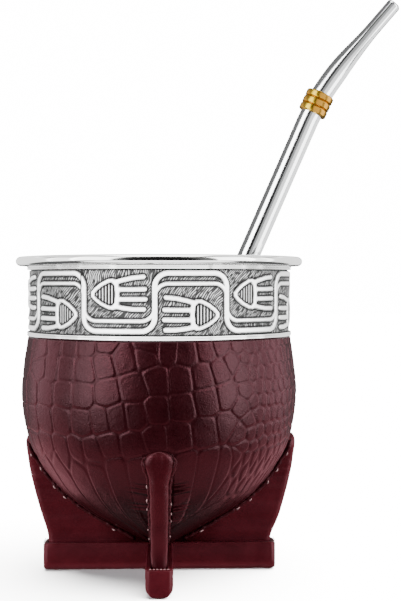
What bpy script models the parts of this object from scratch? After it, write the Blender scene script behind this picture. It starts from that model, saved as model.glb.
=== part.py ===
"""A mate gourd drink: a leather-covered gourd on a cross of four leather fins, with a chased metal
band and a rolled metal rim, filled with yerba and a little infusion, and a metal straw standing in it.

Metres, +Z up. The axis of the cup is Z, the base stands on Z = 0 and the front faces -Y.
"""

import math
import random

import bmesh
import bpy
from mathutils import Vector

MM = 0.001
GAP = 0.3 * MM
TURNS = 48
HOLLOW_TURNS = 36

# Rolled rim, with the sleeve that lines the neck
RIM_TOP = 100.5 * MM
RIM_UNDER = 97.6 * MM
RIM_RADIUS = 45.8 * MM
MOUTH_RADIUS = 35.0 * MM
SLEEVE_RADIUS = 36.2 * MM
SLEEVE_BOTTOM = 86.0 * MM

# Chased band between two mouldings
NECK_RADIUS = 40.3 * MM
BAND_TOP = 96.45 * MM
BAND_BOTTOM = 76.9 * MM
FIELD_RADIUS = 41.45 * MM
RELIEF_RADIUS = 42.0 * MM
MOULDING_RADIUS = 42.3 * MM
MOULDING_BOTTOM = 75.3 * MM
COVER_TOP = 75.0 * MM

# Ornament of the band: a key line that turns every 30 degrees, and a pointed hand in each bay
BAYS = 12
FIRST_TURN = math.radians(-1.7)
OUTER_LINE = (78.2 * MM, 95.1 * MM)
INNER_LINE = (81.3 * MM, 92.0 * MM)
LINE_WIDTH = 1.5 * MM
LINE_CORNER = 3.1 * MM
HAND_LENGTH = 17.4 * MM
HAND_WIDTH = 8.8 * MM
HAND_HIGH = 89.1 * MM
HAND_LOW = 83.0 * MM
ORNAMENT_ROOT = 41.0 * MM
ORNAMENT_REACH = 44.0 * MM

# Bowl: outline of the leather as (height, radius), from the band down to the point between the fins
BOWL_OUTLINE = [
    (75.0, 42.15), (66.5, 43.4), (58.0, 44.1), (49.2, 43.3), (41.0, 41.2), (33.2, 36.9),
    (26.8, 31.9), (21.0, 24.9), (15.0, 15.2), (9.6, 5.6),
]
LEATHER = 1.6 * MM
SHELL = 4.0 * MM

# Fins and the leather strips folded round their feet: the fin's edge as (height, radius, thickness)
FIN_EDGE = [
    (1.8, 35.5, 4.75), (11.0, 35.9, 4.75), (19.4, 38.4, 5.0), (27.1, 40.5, 5.2), (33.0, 41.8, 5.5),
    (36.5, 42.3, 7.0), (39.5, 42.7, 8.6), (42.2, 42.9, 8.0),
]
RIGHT_FIN_MORE = 0.9
FIN_START = 4.6 * MM
FIN_NOSE = 2.2 * MM
STRIP_REACH = 37.2 * MM
STRIP_WIDTH = 8.2 * MM
STRIP_HEIGHT = 9.2 * MM
STRIP_FLOOR = 1.5 * MM
SLOT_HALF = 2.68 * MM
SLOT_REACH = 35.85 * MM

# Straw: the round tube, the three rings and the flattened, bent mouthpiece, in the plane y = 0
TUBE_RADIUS = 3.5 * MM
STRAW_FOOT = Vector((-5.3, 0.0, 23.5)) * MM
STRAW_KNEE = Vector((47.8, 0.0, 144.5)) * MM
RING_CENTRE = Vector((50.6, 0.0, 150.1)) * MM
RING_LEAN = math.radians(25.5)
RING_RADIUS = 4.6 * MM
RING_BORE = 3.85 * MM
RING_LENGTH = 2.07 * MM
MOUTHPIECE_START = Vector((52.3, 0.0, 153.4)) * MM
MOUTHPIECE_BEND = Vector((63.2, 0.0, 167.6)) * MM
MOUTHPIECE_TIP = Vector((75.6, 0.0, 182.2)) * MM
TIP_THICKNESS = 3.8 * MM
TIP_WIDTH = 8.8 * MM
MOUTH_WALL = 0.8 * MM
MOUTH_DEPTH = 5.0 * MM
FLATTENED = (0.40, 0.96)

# Contents: the bed slopes down towards the straw, where the infusion stands
BED_FLOOR = 18.5 * MM
BED_MIDDLE = 78.4 * MM
BED_SLOPE = -0.17
POOL_LEVEL = 77.6 * MM
POOL_RADIUS = 35.6 * MM
STEMS = 12


def principled(name, colour, roughness, metallic=0.0):
    material = bpy.data.materials.new(name)
    material.use_nodes = True
    shader = material.node_tree.nodes["Principled BSDF"]
    shader.inputs["Base Color"].default_value = (*colour, 1.0)
    shader.inputs["Roughness"].default_value = roughness
    shader.inputs["Metallic"].default_value = metallic
    material.diffuse_color = (*colour, 1.0)
    return material


def add_object(name, mesh, material, collection):
    obj = bpy.data.objects.new(name, mesh)
    if material and not mesh.materials:
        mesh.materials.append(material)
    collection.objects.link(obj)
    mesh.shade_smooth()
    mesh.set_sharp_from_angle(angle=math.radians(35))
    return obj


def new_collection(name):
    collection = bpy.data.collections.new(name)
    bpy.context.scene.collection.children.link(collection)
    return collection


def mesh_from(name, bm):
    bmesh.ops.recalc_face_normals(bm, faces=bm.faces)
    mesh = bpy.data.meshes.new(name)
    bm.to_mesh(mesh)
    bm.free()
    return mesh


def turned(name, profile, material, collection, closed=True, steps=TURNS):
    """Revolves (radius, height) points, which run down the outer side and come back up the inner one."""
    bm = bmesh.new()
    points = [bm.verts.new((radius, 0.0, height)) for radius, height in profile]
    for first, second in zip(points, points[1:]):
        bm.edges.new((first, second))
    if closed:
        bm.edges.new((points[-1], points[0]))
    mesh = bpy.data.meshes.new(name)
    bm.to_mesh(mesh)
    bm.free()
    obj = add_object(name, mesh, material, collection)
    screw = obj.modifiers.new("turn", "SCREW")
    screw.axis = "Z"
    screw.angle = 2 * math.pi
    screw.steps = steps
    screw.render_steps = steps
    screw.use_merge_vertices = True
    screw.merge_threshold = 0.00001
    screw.use_smooth_shade = True
    return obj


def loft(name, rings, material, collection):
    """A closed skin over rings of equal count, with both ends capped."""
    bm = bmesh.new()
    rows = [[bm.verts.new(point) for point in ring] for ring in rings]
    count = len(rows[0])
    for lower, upper in zip(rows, rows[1:]):
        for side in range(count):
            after = (side + 1) % count
            bm.faces.new((lower[side], lower[after], upper[after], upper[side]))
    bm.faces.new(list(reversed(rows[0])))
    bm.faces.new(rows[-1])
    return add_object(name, mesh_from(name, bm), material, collection)


def hide_as_cutter(obj):
    obj.hide_render = True
    obj.display_type = "WIRE"
    return obj


def subtract(obj, cutter, solver="EXACT"):
    cut = obj.modifiers.new(f"cut by {cutter.name}", "BOOLEAN")
    cut.operation = "DIFFERENCE"
    cut.solver = solver
    cut.object = cutter
    return cut


def apply_modifiers(obj):
    graph = bpy.context.evaluated_depsgraph_get()
    mesh = bpy.data.meshes.new_from_object(obj.evaluated_get(graph))
    obj.modifiers.clear()
    obj.data = mesh
    return obj


def unite(obj, pieces, solver="EXACT"):
    """Joins the pieces of a collection to the object for good, and removes them."""
    join = obj.modifiers.new("join", "BOOLEAN")
    join.operation = "UNION"
    join.solver = solver
    join.operand_type = "COLLECTION"
    join.collection = pieces
    apply_modifiers(obj)
    for piece in list(pieces.objects):
        bpy.data.objects.remove(piece)
    bpy.data.collections.remove(pieces)
    return obj


def smooth_curve(knots, steps):
    """Points along a Catmull-Rom curve through the knots, with this many steps between neighbours."""
    ends = [2 * knots[0] - knots[1], *knots, 2 * knots[-1] - knots[-2]]
    points = []
    for before, start, end, after in zip(ends, ends[1:], ends[2:], ends[3:]):
        for step in range(steps):
            t = step / steps
            points.append(
                0.5
                * (
                    2 * start
                    + (end - before) * t
                    + (2 * before - 5 * start + 4 * end - after) * t**2
                    + (3 * start - before - 3 * end + after) * t**3
                )
            )
    points.append(knots[-1].copy())
    return points


def bowl_profile(inset, steps=1):
    """The bowl's outline from the top down, moved inwards along its normal, as (radius, height)."""
    knots = [Vector((radius, height)) * MM for height, radius in BOWL_OUTLINE]
    line = smooth_curve(knots, steps)
    moved = []
    for index, point in enumerate(line):
        before = line[max(index - 1, 0)]
        after = line[min(index + 1, len(line) - 1)]
        along = (after - before).normalized()
        outward = Vector((-along.y, along.x))
        place = point - outward * inset
        if place.x > 2.5 * MM:
            moved.append((place.x, place.y))
    return moved


def every_other(profile):
    """Fewer points for a hidden face, with both ends kept."""
    return profile[:-1:2] + profile[-1:]


def build_rim(material, collection):
    roll = (RIM_TOP - RIM_UNDER) / 2
    middle = (RIM_TOP + RIM_UNDER) / 2
    profile = [(MOUTH_RADIUS, RIM_TOP - 2.0 * MM), (MOUTH_RADIUS + 0.7 * MM, RIM_TOP - 0.9 * MM)]
    profile.append((MOUTH_RADIUS + 2.4 * MM, RIM_TOP - 0.4 * MM))
    for step in range(6):
        angle = math.radians(90 - 36 * step)
        profile.append((RIM_RADIUS - roll + roll * math.cos(angle), middle + roll * math.sin(angle)))
    profile += [(SLEEVE_RADIUS, RIM_UNDER), (SLEEVE_RADIUS, SLEEVE_BOTTOM), (MOUTH_RADIUS, SLEEVE_BOTTOM)]
    return turned("rim", profile, material, collection)


def build_mouldings(material, collection):
    inner = NECK_RADIUS + GAP
    top = RIM_UNDER - GAP
    low = BAND_TOP + GAP
    groove = (top + low) / 2
    beads = [(inner, top), (MOULDING_RADIUS - 0.4 * MM, top), (MOULDING_RADIUS, top - 0.25 * MM)]
    beads += [(MOULDING_RADIUS - 0.5 * MM, groove), (MOULDING_RADIUS - 0.1 * MM, low), (inner, low)]
    turned("band_top_bead", beads, material, collection)
    top = BAND_BOTTOM - GAP
    low = MOULDING_BOTTOM
    half = (top - low) / 2
    base = [(inner, top)]
    for step in range(4):
        angle = math.radians(90 - 60 * step)
        base.append((MOULDING_RADIUS - half + half * math.cos(angle), low + half + half * math.sin(angle)))
    base.append((inner, low))
    turned("band_base_ring", base, material, collection)


def on_band(along, height, radius):
    """A place on the band, from its distance along the field to the right of the front."""
    angle = along / FIELD_RADIUS
    return Vector((radius * math.sin(angle), -radius * math.cos(angle), height))


def key_line(low, high):
    """The key line's centre: (distance along the band, height) points of a square wave, corners cut."""
    bay = 2 * math.pi * FIELD_RADIUS / BAYS
    start = FIRST_TURN * FIELD_RADIUS
    points = []
    for index in range(BAYS):
        turn = start + index * bay
        first, second = (low, high) if index % 2 == 0 else (high, low)
        inward = LINE_CORNER if first < second else -LINE_CORNER
        points += [(turn - LINE_CORNER, first), (turn, first + inward)]
        points += [(turn, second - inward), (turn + LINE_CORNER, second)]
        points += [(turn + bay * share, second) for share in (0.3, 0.5, 0.7)]
    return points


def build_key_line(name, low, high, width, material, collection):
    """An upright strip that follows the key line all round the band."""
    line = key_line(low, high)
    length = 2 * math.pi * FIELD_RADIUS
    rings = []
    for index, (along, height) in enumerate(line):
        before = line[index - 1]
        after = line[(index + 1) % len(line)]
        step = Vector(((after[0] - before[0] + length / 2) % length - length / 2, after[1] - before[1]))
        across = Vector((-step.y, step.x)).normalized() * width / 2
        ring = []
        for side, reach in ((1, ORNAMENT_ROOT), (1, ORNAMENT_REACH), (-1, ORNAMENT_REACH), (-1, ORNAMENT_ROOT)):
            ring.append(on_band(along + side * across.x, height + side * across.y, reach))
        rings.append(ring)
    bm = bmesh.new()
    rows = [[bm.verts.new(point) for point in ring] for ring in rings]
    for index, row in enumerate(rows):
        following = rows[(index + 1) % len(rows)]
        for side in range(4):
            after = (side + 1) % 4
            bm.faces.new((row[side], row[after], following[after], following[side]))
    return add_object(name, mesh_from(name, bm), material, collection)


def hand_outline():
    """A pointed hand as seen flat, pointing to -X: the head is a leaf and four fingers trail behind it."""
    half = HAND_WIDTH / 2
    neck = -0.06 * HAND_LENGTH
    tail = 0.5 * HAND_LENGTH
    upper = [(-0.5 * HAND_LENGTH, 0.0), (-0.34 * HAND_LENGTH, 0.6 * half), (-0.14 * HAND_LENGTH, 0.95 * half)]
    upper += [(neck, 0.7 * half), (tail * 0.92, 1.02 * half), (tail * 0.92, 0.72 * half)]
    upper += [(0.08 * HAND_LENGTH, 0.55 * half), (tail, 0.48 * half), (tail, 0.18 * half)]
    upper.append((0.08 * HAND_LENGTH, 0.12 * half))
    lower = [(x, -y) for x, y in reversed(upper[1:])]
    return upper + lower


def build_hands(material, collection):
    bay = 2 * math.pi * FIELD_RADIUS / BAYS
    for index in range(BAYS):
        middle = FIRST_TURN * FIELD_RADIUS + (index + 0.5) * bay
        opens_up = index % 2 == 1
        facing = 1 if opens_up else -1
        height = HAND_HIGH if opens_up else HAND_LOW
        rings = []
        for radius in (ORNAMENT_ROOT, ORNAMENT_REACH):
            ring = [on_band(middle + facing * x, height + y, radius) for x, y in hand_outline()]
            rings.append(ring)
        loft(f"hand_{index}", rings, material, collection)


def build_band(material, collection, cutters):
    inner = NECK_RADIUS + GAP
    profile = [(inner, BAND_TOP), (FIELD_RADIUS, BAND_TOP), (FIELD_RADIUS, BAND_BOTTOM), (inner, BAND_BOTTOM)]
    band = turned("band", profile, material, collection)
    raised = new_collection("raised ornament")
    build_key_line("inner_line", *INNER_LINE, LINE_WIDTH - 0.3 * MM, material, raised)
    build_hands(material, raised)
    whole = new_collection("whole ornament")
    ornament = build_key_line("ornament", *OUTER_LINE, LINE_WIDTH, material, whole)
    unite(ornament, raised, solver="MANIFOLD")
    profile = [(inner, BAND_TOP), (RELIEF_RADIUS, BAND_TOP), (RELIEF_RADIUS, BAND_BOTTOM), (inner, BAND_BOTTOM)]
    skin = hide_as_cutter(turned("relief_surface", profile, None, cutters))
    trim = ornament.modifiers.new("trim to the relief surface", "BOOLEAN")
    trim.operation = "INTERSECT"
    trim.solver = "MANIFOLD"
    trim.object = skin
    apply_modifiers(ornament)
    return unite(band, whole, solver="MANIFOLD")


def build_cover(material, collection):
    outer = bowl_profile(0.0)
    inner = every_other(bowl_profile(LEATHER))
    inner[0] = (NECK_RADIUS + GAP, COVER_TOP)
    profile = [*outer, (0.0, outer[-1][1]), (0.0, inner[-1][1]), *reversed(inner)]
    return turned("leather_cover", closed_on_axis(profile), material, collection, closed=False)


def closed_on_axis(profile):
    """Turns a profile whose middle touches the axis into one that starts and ends there."""
    touching = [index for index, (radius, _) in enumerate(profile) if radius == 0.0]
    second = touching[-1]
    return profile[second:] + profile[:second]


def build_gourd(material, collection):
    outer = every_other(bowl_profile(LEATHER + GAP))
    inner = bowl_profile(LEATHER + GAP + SHELL)
    top = RIM_UNDER - GAP
    outer[0] = (NECK_RADIUS, COVER_TOP)
    inner[0] = (SLEEVE_RADIUS + GAP, COVER_TOP)
    profile = [(NECK_RADIUS, top), *outer, (0.0, outer[-1][1]), (0.0, inner[-1][1])]
    profile += [*reversed(inner), (SLEEVE_RADIUS + GAP, top)]
    return turned("gourd", closed_on_axis(profile), material, collection, closed=False, steps=HOLLOW_TURNS)


def build_bowl_cutter(cutters):
    outer = bowl_profile(-GAP)
    outer[0] = (outer[0][0], COVER_TOP)
    profile = [(0.0, COVER_TOP), *outer, (0.0, outer[-1][1])]
    return hide_as_cutter(turned("bowl_clearance", profile, None, cutters, closed=False))


def build_fins(material, collection, bowl_cutter):
    """Four plates, the right one a little wider: each stands in a strip and is scribed to the bowl."""
    for name, turn in (("fin_right", 0), ("fin_back", 90), ("fin_left", 180), ("fin_front", 270)):
        rings = []
        for height, radius, thickness in FIN_EDGE:
            more = RIGHT_FIN_MORE if name == "fin_right" and height > FIN_EDGE[1][0] else 0.0
            ring = [Vector((FIN_START, thickness / 2 * MM, height * MM))]
            for step in range(7):
                angle = math.radians(90 - 30 * step)
                reach = (radius + more) * MM - FIN_NOSE + FIN_NOSE * math.cos(angle)
                ring.append(Vector((reach, thickness / 2 * MM * math.sin(angle), height * MM)))
            ring.append(Vector((FIN_START, -thickness / 2 * MM, height * MM)))
            rings.append(ring)
        fin = loft(name, rings, material, collection)
        fin.rotation_euler.z = math.radians(turn)
        subtract(fin, bowl_cutter)


def box(name, low, high, material, collection):
    """A block between two corners, with its scale applied."""
    bm = bmesh.new()
    bmesh.ops.create_cube(bm, size=1.0)
    size = Vector(high) - Vector(low)
    bmesh.ops.scale(bm, vec=size, verts=bm.verts)
    obj = add_object(name, mesh_from(name, bm), material, collection)
    obj.location = (Vector(high) + Vector(low)) / 2
    return obj


def build_strips(material, collection, cutters):
    """One strip runs from side to side under the cup, and two shorter ones butt against it."""
    half = STRIP_WIDTH / 2
    start = half + GAP
    strips = {
        "foot_strip_sides": ((-STRIP_REACH, -half, 0.0), (STRIP_REACH, half, STRIP_HEIGHT)),
        "foot_strip_front": ((-half, -STRIP_REACH, 0.0), (half, -start, STRIP_HEIGHT)),
        "foot_strip_back": ((-half, start, 0.0), (half, STRIP_REACH, STRIP_HEIGHT)),
    }
    above = STRIP_HEIGHT + 5 * MM
    slots = {
        "foot_strip_sides": ((-SLOT_REACH, -SLOT_HALF, STRIP_FLOOR), (SLOT_REACH, SLOT_HALF, above)),
        "foot_strip_front": ((-SLOT_HALF, -SLOT_REACH, STRIP_FLOOR), (SLOT_HALF, 0.0, above)),
        "foot_strip_back": ((-SLOT_HALF, 0.0, STRIP_FLOOR), (SLOT_HALF, SLOT_REACH, above)),
    }
    for name, corners in strips.items():
        strip = box(name, *corners, material, collection)
        rounding = strip.modifiers.new("rounded edges", "BEVEL")
        rounding.width = 0.9 * MM
        rounding.segments = 2
        rounding.limit_method = "ANGLE"
        slot = hide_as_cutter(box(f"{name}_slot", *slots[name], None, cutters))
        subtract(strip, slot)


def straw_ring(centre, along, half_thick, half_wide, flatness, sides=16):
    """A section across the straw: a circle, or flattened in the plane that the straw bends in."""
    across = Vector((along.z, 0.0, -along.x))
    ring = []
    for side in range(sides):
        angle = 2 * math.pi * (side + 0.5) / sides
        cosine, sine = math.cos(angle), math.sin(angle)
        power = 1.0 - 0.45 * flatness
        thick = half_thick * math.copysign(abs(cosine) ** power, cosine)
        wide = half_wide * sine
        ring.append(centre + across * thick + Vector((0.0, wide, 0.0)))
    return ring


def mouthpiece_line(steps):
    knots = [RING_CENTRE, MOUTHPIECE_START, MOUTHPIECE_BEND, MOUTHPIECE_TIP]
    return smooth_curve(knots, steps)[steps:]


def build_straw(material, collection):
    lean = (STRAW_KNEE - STRAW_FOOT).normalized()
    collar = Vector((math.sin(RING_LEAN), 0.0, math.cos(RING_LEAN)))
    rings = [straw_ring(STRAW_FOOT, lean, TUBE_RADIUS, TUBE_RADIUS, 0.0)]
    rings.append(straw_ring(STRAW_KNEE, lean, TUBE_RADIUS, TUBE_RADIUS, 0.0))
    rings.append(straw_ring(RING_CENTRE, collar, TUBE_RADIUS, TUBE_RADIUS, 0.0))
    line = mouthpiece_line(4)
    last = len(line) - 1
    for index, point in enumerate(line):
        along = (line[min(index + 1, last)] - line[max(index - 1, 0)]).normalized()
        share = (index / last - FLATTENED[0]) / (FLATTENED[1] - FLATTENED[0])
        flat = 0.5 - 0.5 * math.cos(math.pi * min(max(share, 0.0), 1.0))
        half_thick = TUBE_RADIUS + (TIP_THICKNESS / 2 - TUBE_RADIUS) * flat
        half_wide = TUBE_RADIUS + (TIP_WIDTH / 2 - TUBE_RADIUS) * flat
        rings.append(straw_ring(point, along, half_thick, half_wide, flat))
    along = (line[-1] - line[-2]).normalized()
    for depth in (0.0, MOUTH_DEPTH):
        half_thick = TIP_THICKNESS / 2 - MOUTH_WALL
        half_wide = TIP_WIDTH / 2 - MOUTH_WALL
        rings.append(straw_ring(MOUTHPIECE_TIP - along * depth, along, half_thick, half_wide, 1.0))
    return loft("straw", rings, material, collection)


def build_straw_rings(material, collection):
    half = RING_LENGTH / 2
    profile = [(RING_BORE, half), (RING_RADIUS - 0.5 * MM, half), (RING_RADIUS, half * 0.45)]
    profile += [(RING_RADIUS, -half * 0.45), (RING_RADIUS - 0.5 * MM, -half), (RING_BORE, -half)]
    axis = Vector((math.sin(RING_LEAN), 0.0, math.cos(RING_LEAN)))
    for name, place in (("straw_ring_lower", -1), ("straw_ring_middle", 0), ("straw_ring_upper", 1)):
        ring = turned(name, profile, material, collection, steps=18)
        ring.location = RING_CENTRE + axis * place * (RING_LENGTH + GAP)
        ring.rotation_euler.y = RING_LEAN


def inside_radius(height):
    """Radius of the gourd's hollow at this height."""
    profile = bowl_profile(LEATHER + GAP + SHELL)
    if height >= profile[0][1]:
        return SLEEVE_RADIUS + GAP
    for upper, lower in zip(profile, profile[1:]):
        if lower[1] <= height <= upper[1]:
            share = (height - lower[1]) / (upper[1] - lower[1])
            return lower[0] + (upper[0] - lower[0]) * share
    return profile[-1][0]


def bed_height(x, y):
    """Height of the bed at a place: a slope with soft mounds and small lumps."""
    mounds = 1.1 * math.sin(x / (9 * MM) + 0.6) * math.cos(y / (11 * MM))
    lumps = 0.45 * math.sin(x / (2.3 * MM) + 2.0 * math.sin(y / (3.1 * MM))) * math.cos(y / (1.9 * MM) + 0.7)
    return BED_MIDDLE + BED_SLOPE * x + (mounds + lumps) * MM


def bed_solid(name, lift, material, collection, sides=HOLLOW_TURNS, rings=9):
    """The bed of leaf: it fills the hollow up to its own uneven top, which can be lifted."""
    rows = []
    for side in range(sides):
        angle = 2 * math.pi * side / sides
        edge = BED_MIDDLE
        for _ in range(6):
            reach = inside_radius(edge) - GAP
            edge = bed_height(reach * math.cos(angle), reach * math.sin(angle))
        rows.append((angle, edge))
    bm = bmesh.new()
    levels = []
    for step in range(7):
        ring = []
        for angle, edge in rows:
            height = BED_FLOOR + (edge - BED_FLOOR) * step / 6
            reach = inside_radius(height) - GAP
            ring.append(bm.verts.new((reach * math.cos(angle), reach * math.sin(angle), height + lift)))
        levels.append(ring)
    for step in range(1, rings):
        ring = []
        for angle, edge in rows:
            reach = (inside_radius(edge) - GAP) * (1 - step / rings)
            x, y = reach * math.cos(angle), reach * math.sin(angle)
            ring.append(bm.verts.new((x, y, bed_height(x, y) + lift)))
        levels.append(ring)
    for lower, upper in zip(levels, levels[1:]):
        for side in range(sides):
            after = (side + 1) % sides
            bm.faces.new((lower[side], lower[after], upper[after], upper[side]))
    crown = bm.verts.new((0.0, 0.0, bed_height(0.0, 0.0) + lift))
    for side in range(sides):
        bm.faces.new((levels[-1][side], levels[-1][(side + 1) % sides], crown))
    bm.faces.new(list(reversed(levels[0])))
    bmesh.ops.triangulate(bm, faces=bm.faces, quad_method="FIXED")
    return add_object(name, mesh_from(name, bm), material, collection)


def build_straw_clearance(cutters):
    """A rod round the sunk part of the straw, one gap wider and one gap longer."""
    lean = (STRAW_KNEE - STRAW_FOOT).normalized()
    radius = TUBE_RADIUS + GAP
    start = STRAW_FOOT - lean * GAP
    rings = [straw_ring(start, lean, radius, radius, 0.0), straw_ring(STRAW_KNEE, lean, radius, radius, 0.0)]
    return hide_as_cutter(loft("straw_clearance", rings, None, cutters))


def build_yerba(material, collection, straw_cutter):
    yerba = bed_solid("yerba", 0.0, material, collection)
    stems = new_collection("stems")
    draw = random.Random(7)
    for index in range(STEMS):
        x = draw.uniform(-28, -11) * MM
        y = draw.uniform(-22, 22) * MM
        length = draw.uniform(5, 9) * MM
        bm = bmesh.new()
        bmesh.ops.create_cone(
            bm, cap_ends=True, segments=5, radius1=0.75 * MM, radius2=0.65 * MM, depth=length
        )
        stem = add_object(f"stem_{index}", mesh_from("stem", bm), material, stems)
        stem.location = (x, y, bed_height(x, y) + 0.25 * MM)
        tilt = math.radians(90 + draw.uniform(-7, 7))
        stem.rotation_euler = (0.0, tilt, math.radians(draw.uniform(0, 180)))
    unite(yerba, stems, solver="MANIFOLD")
    subtract(yerba, straw_cutter)
    return yerba


def build_infusion(material, collection, cutters, straw_cutter):
    """The liquid that stands in the low side of the bed, up to its level."""
    depth = 12 * MM
    bm = bmesh.new()
    bmesh.ops.create_cone(
        bm, cap_ends=True, segments=TURNS, radius1=POOL_RADIUS, radius2=POOL_RADIUS, depth=depth
    )
    infusion = add_object("infusion", mesh_from("infusion", bm), material, collection)
    infusion.location.z = POOL_LEVEL - depth / 2
    bed_cutter = bed_solid("bed_clearance", GAP, None, cutters)
    subtract(infusion, hide_as_cutter(bed_cutter), solver="MANIFOLD")
    subtract(infusion, straw_cutter, solver="MANIFOLD")
    return infusion


def main():
    for obj in list(bpy.data.objects):
        bpy.data.objects.remove(obj)
    collection = new_collection("mate_gourd_drink")
    cutters = new_collection("cutters")

    silver = principled("polished_silver", (0.72, 0.72, 0.71), 0.12, 1.0)
    chased = principled("oxidised_silver", (0.42, 0.41, 0.40), 0.35, 1.0)
    steel = principled("polished_steel", (0.66, 0.67, 0.69), 0.10, 1.0)
    brass = principled("brass", (0.78, 0.52, 0.14), 0.22, 1.0)
    leather = principled("burgundy_leather", (0.085, 0.012, 0.018), 0.28)
    rind = principled("gourd_rind", (0.36, 0.22, 0.10), 0.7)
    leaf = principled("yerba_leaf", (0.16, 0.17, 0.05), 0.9)
    liquid = principled("infusion", (0.20, 0.17, 0.03), 0.08)

    bowl_cutter = build_bowl_cutter(cutters)
    straw_cutter = build_straw_clearance(cutters)

    build_rim(silver, collection)
    build_mouldings(silver, collection)
    build_band(chased, collection, cutters)
    build_cover(leather, collection)
    build_gourd(rind, collection)
    build_fins(leather, collection, bowl_cutter)
    build_strips(leather, collection, cutters)
    build_straw(steel, collection)
    build_straw_rings(brass, collection)
    build_yerba(leaf, collection, straw_cutter)
    build_infusion(liquid, collection, cutters, straw_cutter)


main()
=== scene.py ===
"""The mate gourd drink, dressed: embossed leather over the gourd, a chased band, polished metal, yerba."""

import math

import bpy
import numpy as np
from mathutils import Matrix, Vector


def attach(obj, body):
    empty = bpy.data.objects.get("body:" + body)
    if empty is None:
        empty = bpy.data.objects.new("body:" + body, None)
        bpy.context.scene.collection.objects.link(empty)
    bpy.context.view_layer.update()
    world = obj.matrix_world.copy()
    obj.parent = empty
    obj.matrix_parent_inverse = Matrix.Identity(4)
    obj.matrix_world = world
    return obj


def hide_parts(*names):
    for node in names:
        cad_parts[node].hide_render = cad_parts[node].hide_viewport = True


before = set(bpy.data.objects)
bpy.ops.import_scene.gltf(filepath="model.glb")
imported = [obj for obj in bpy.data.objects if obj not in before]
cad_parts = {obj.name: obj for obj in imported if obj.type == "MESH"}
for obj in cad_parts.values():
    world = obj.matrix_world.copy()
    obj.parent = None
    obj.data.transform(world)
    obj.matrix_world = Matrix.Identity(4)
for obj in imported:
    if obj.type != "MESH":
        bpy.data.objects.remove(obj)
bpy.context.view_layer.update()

MM = 0.001
TURN = 2 * math.pi

# Camera, in millimetres, degrees and pixels of the photograph
PHOTO_HEIGHT = 601
FOCAL_PIXELS = 1174.0
CAMERA_PLACE = (1.5, -378.7, 92.3)
CAMERA_PAN = 1.77
CAMERA_TILT = 0.865

# Cup, in millimetres, as the solids have it
RIM_TOP = 100.5
RIM_UNDER = 97.6
RIM_RADIUS = 45.8
MOUTH_RADIUS = 35.0
SLEEVE_RADIUS = 36.2
SLEEVE_BOTTOM = 86.0
BAND_TOP = 96.35
BAND_BOTTOM = 76.9
FIELD_RADIUS = 41.45
MOULDING_RADIUS = 42.3
NECK_RADIUS = 40.3
BASE_RING_LOW = 75.55
COVER_TOP = 75.5
GOURD_TOP = 97.9
GOURD_INSET = 5.9
GOURD_OUTER_INSET = 1.9
BOWL_OUTLINE = [
    (75.0, 42.15), (66.5, 43.4), (58.0, 44.1), (49.2, 43.3), (41.0, 41.2), (33.2, 36.9),
    (26.8, 31.9), (21.0, 24.9), (15.0, 15.2), (9.6, 5.6),
]
FIN_EDGE = [
    (1.8, 35.5, 4.75), (11.0, 35.9, 4.75), (19.4, 38.4, 5.0), (27.1, 40.5, 5.2), (33.0, 41.8, 5.5),
    (36.5, 42.3, 6.6), (39.5, 42.7, 8.8), (42.2, 42.9, 9.8),
]
STRIP_REACH = 37.15
STRIP_WIDTH = 8.2
STRIP_HEIGHT = 9.2
CROSS_REACH = 38.3
CROSS_HEIGHT = 8.8

# Straw, in millimetres
TUBE_RADIUS = 3.5
STRAW_FOOT = Vector((-5.3, 0.0, 23.5))
STRAW_KNEE = Vector((47.8, 0.0, 144.5))
RING_CENTRE = Vector((50.6, 0.0, 150.1))
RING_LEAN = math.radians(25.5)
RING_RADIUS = 4.6
RING_BORE = 3.85
RING_LENGTH = 2.07
RING_GAP = 0.3
MOUTHPIECE_START = Vector((53.1, 0.0, 154.3))
MOUTHPIECE_RISE = Vector((59.1, 0.0, 162.6))
MOUTHPIECE_BEND = Vector((67.0, 0.0, 172.0))
MOUTHPIECE_TIP = Vector((75.4, 0.0, 181.75))
TIP_THICKNESS = 4.7
TIP_WIDTH = 8.8
FLATTENED = (0.22, 0.78)
STRAW_SIDES = 48
TIP_LIP = ((-0.04, 0.12), (0.0, 0.3), (-0.06, 0.55), (-0.46, 0.75), (-5.16, 0.8))

# Studio: for what each panel lights, its azimuth from the camera's side (positive to the right), elevation,
# width and height in metres, and luminance
SOFT_BOXES = {
    "object": [
        (-54, 16, 0.80, 1.5, 6.0), (62, 12, 0.75, 1.5, 6.5), (0, 68, 1.0, 0.45, 5.0), (10, 88, 0.9, 0.7, 5.0),
    ],
    "metal": [
        (-128, 5, 1.7, 1.3, 1.9), (128, 5, 1.7, 1.3, 1.9), (-83, 8, 0.62, 1.3, 3.4), (87, 8, 0.56, 1.3, 3.4),
        (0, -58, 2.6, 1.2, 3.2), (180, 72, 2.4, 1.6, 1.8),
    ],
    "leather": [
        (-108, 12, 0.9, 1.2, 2.6), (108, 12, 0.9, 1.2, 3.0),
        (-38, 24, 0.36, 0.5, 9.0), (43, 24, 0.36, 0.5, 7.0),
    ],
    "leather_low": [(0, -66, 2.4, 1.1, 1.5), (-116, -36, 1.5, 0.8, 1.6), (118, -36, 1.5, 0.8, 1.55)],
    "straw": [
        (-55, 12, 0.76, 1.6, 7.0), (4, -4, 0.42, 1.6, 0.5),
        (31, -12, 0.80, 1.7, 1.7), (114, -16, 1.4, 1.6, 2.0),
    ],
    "brass_yellow": [(-50, 10, 0.80, 1.6, 4.6)],
    "brass_orange": [(22, -6, 1.2, 1.6, 1.1), (84, 4, 0.9, 1.6, 1.9), (-120, 4, 1.0, 1.6, 0.7)],
    "chasing": [(0, 0, 2.2, 1.4, 6.0)],
    "sides": [(20, 0, 1.0, 0.5, 0.9)],
}
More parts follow.
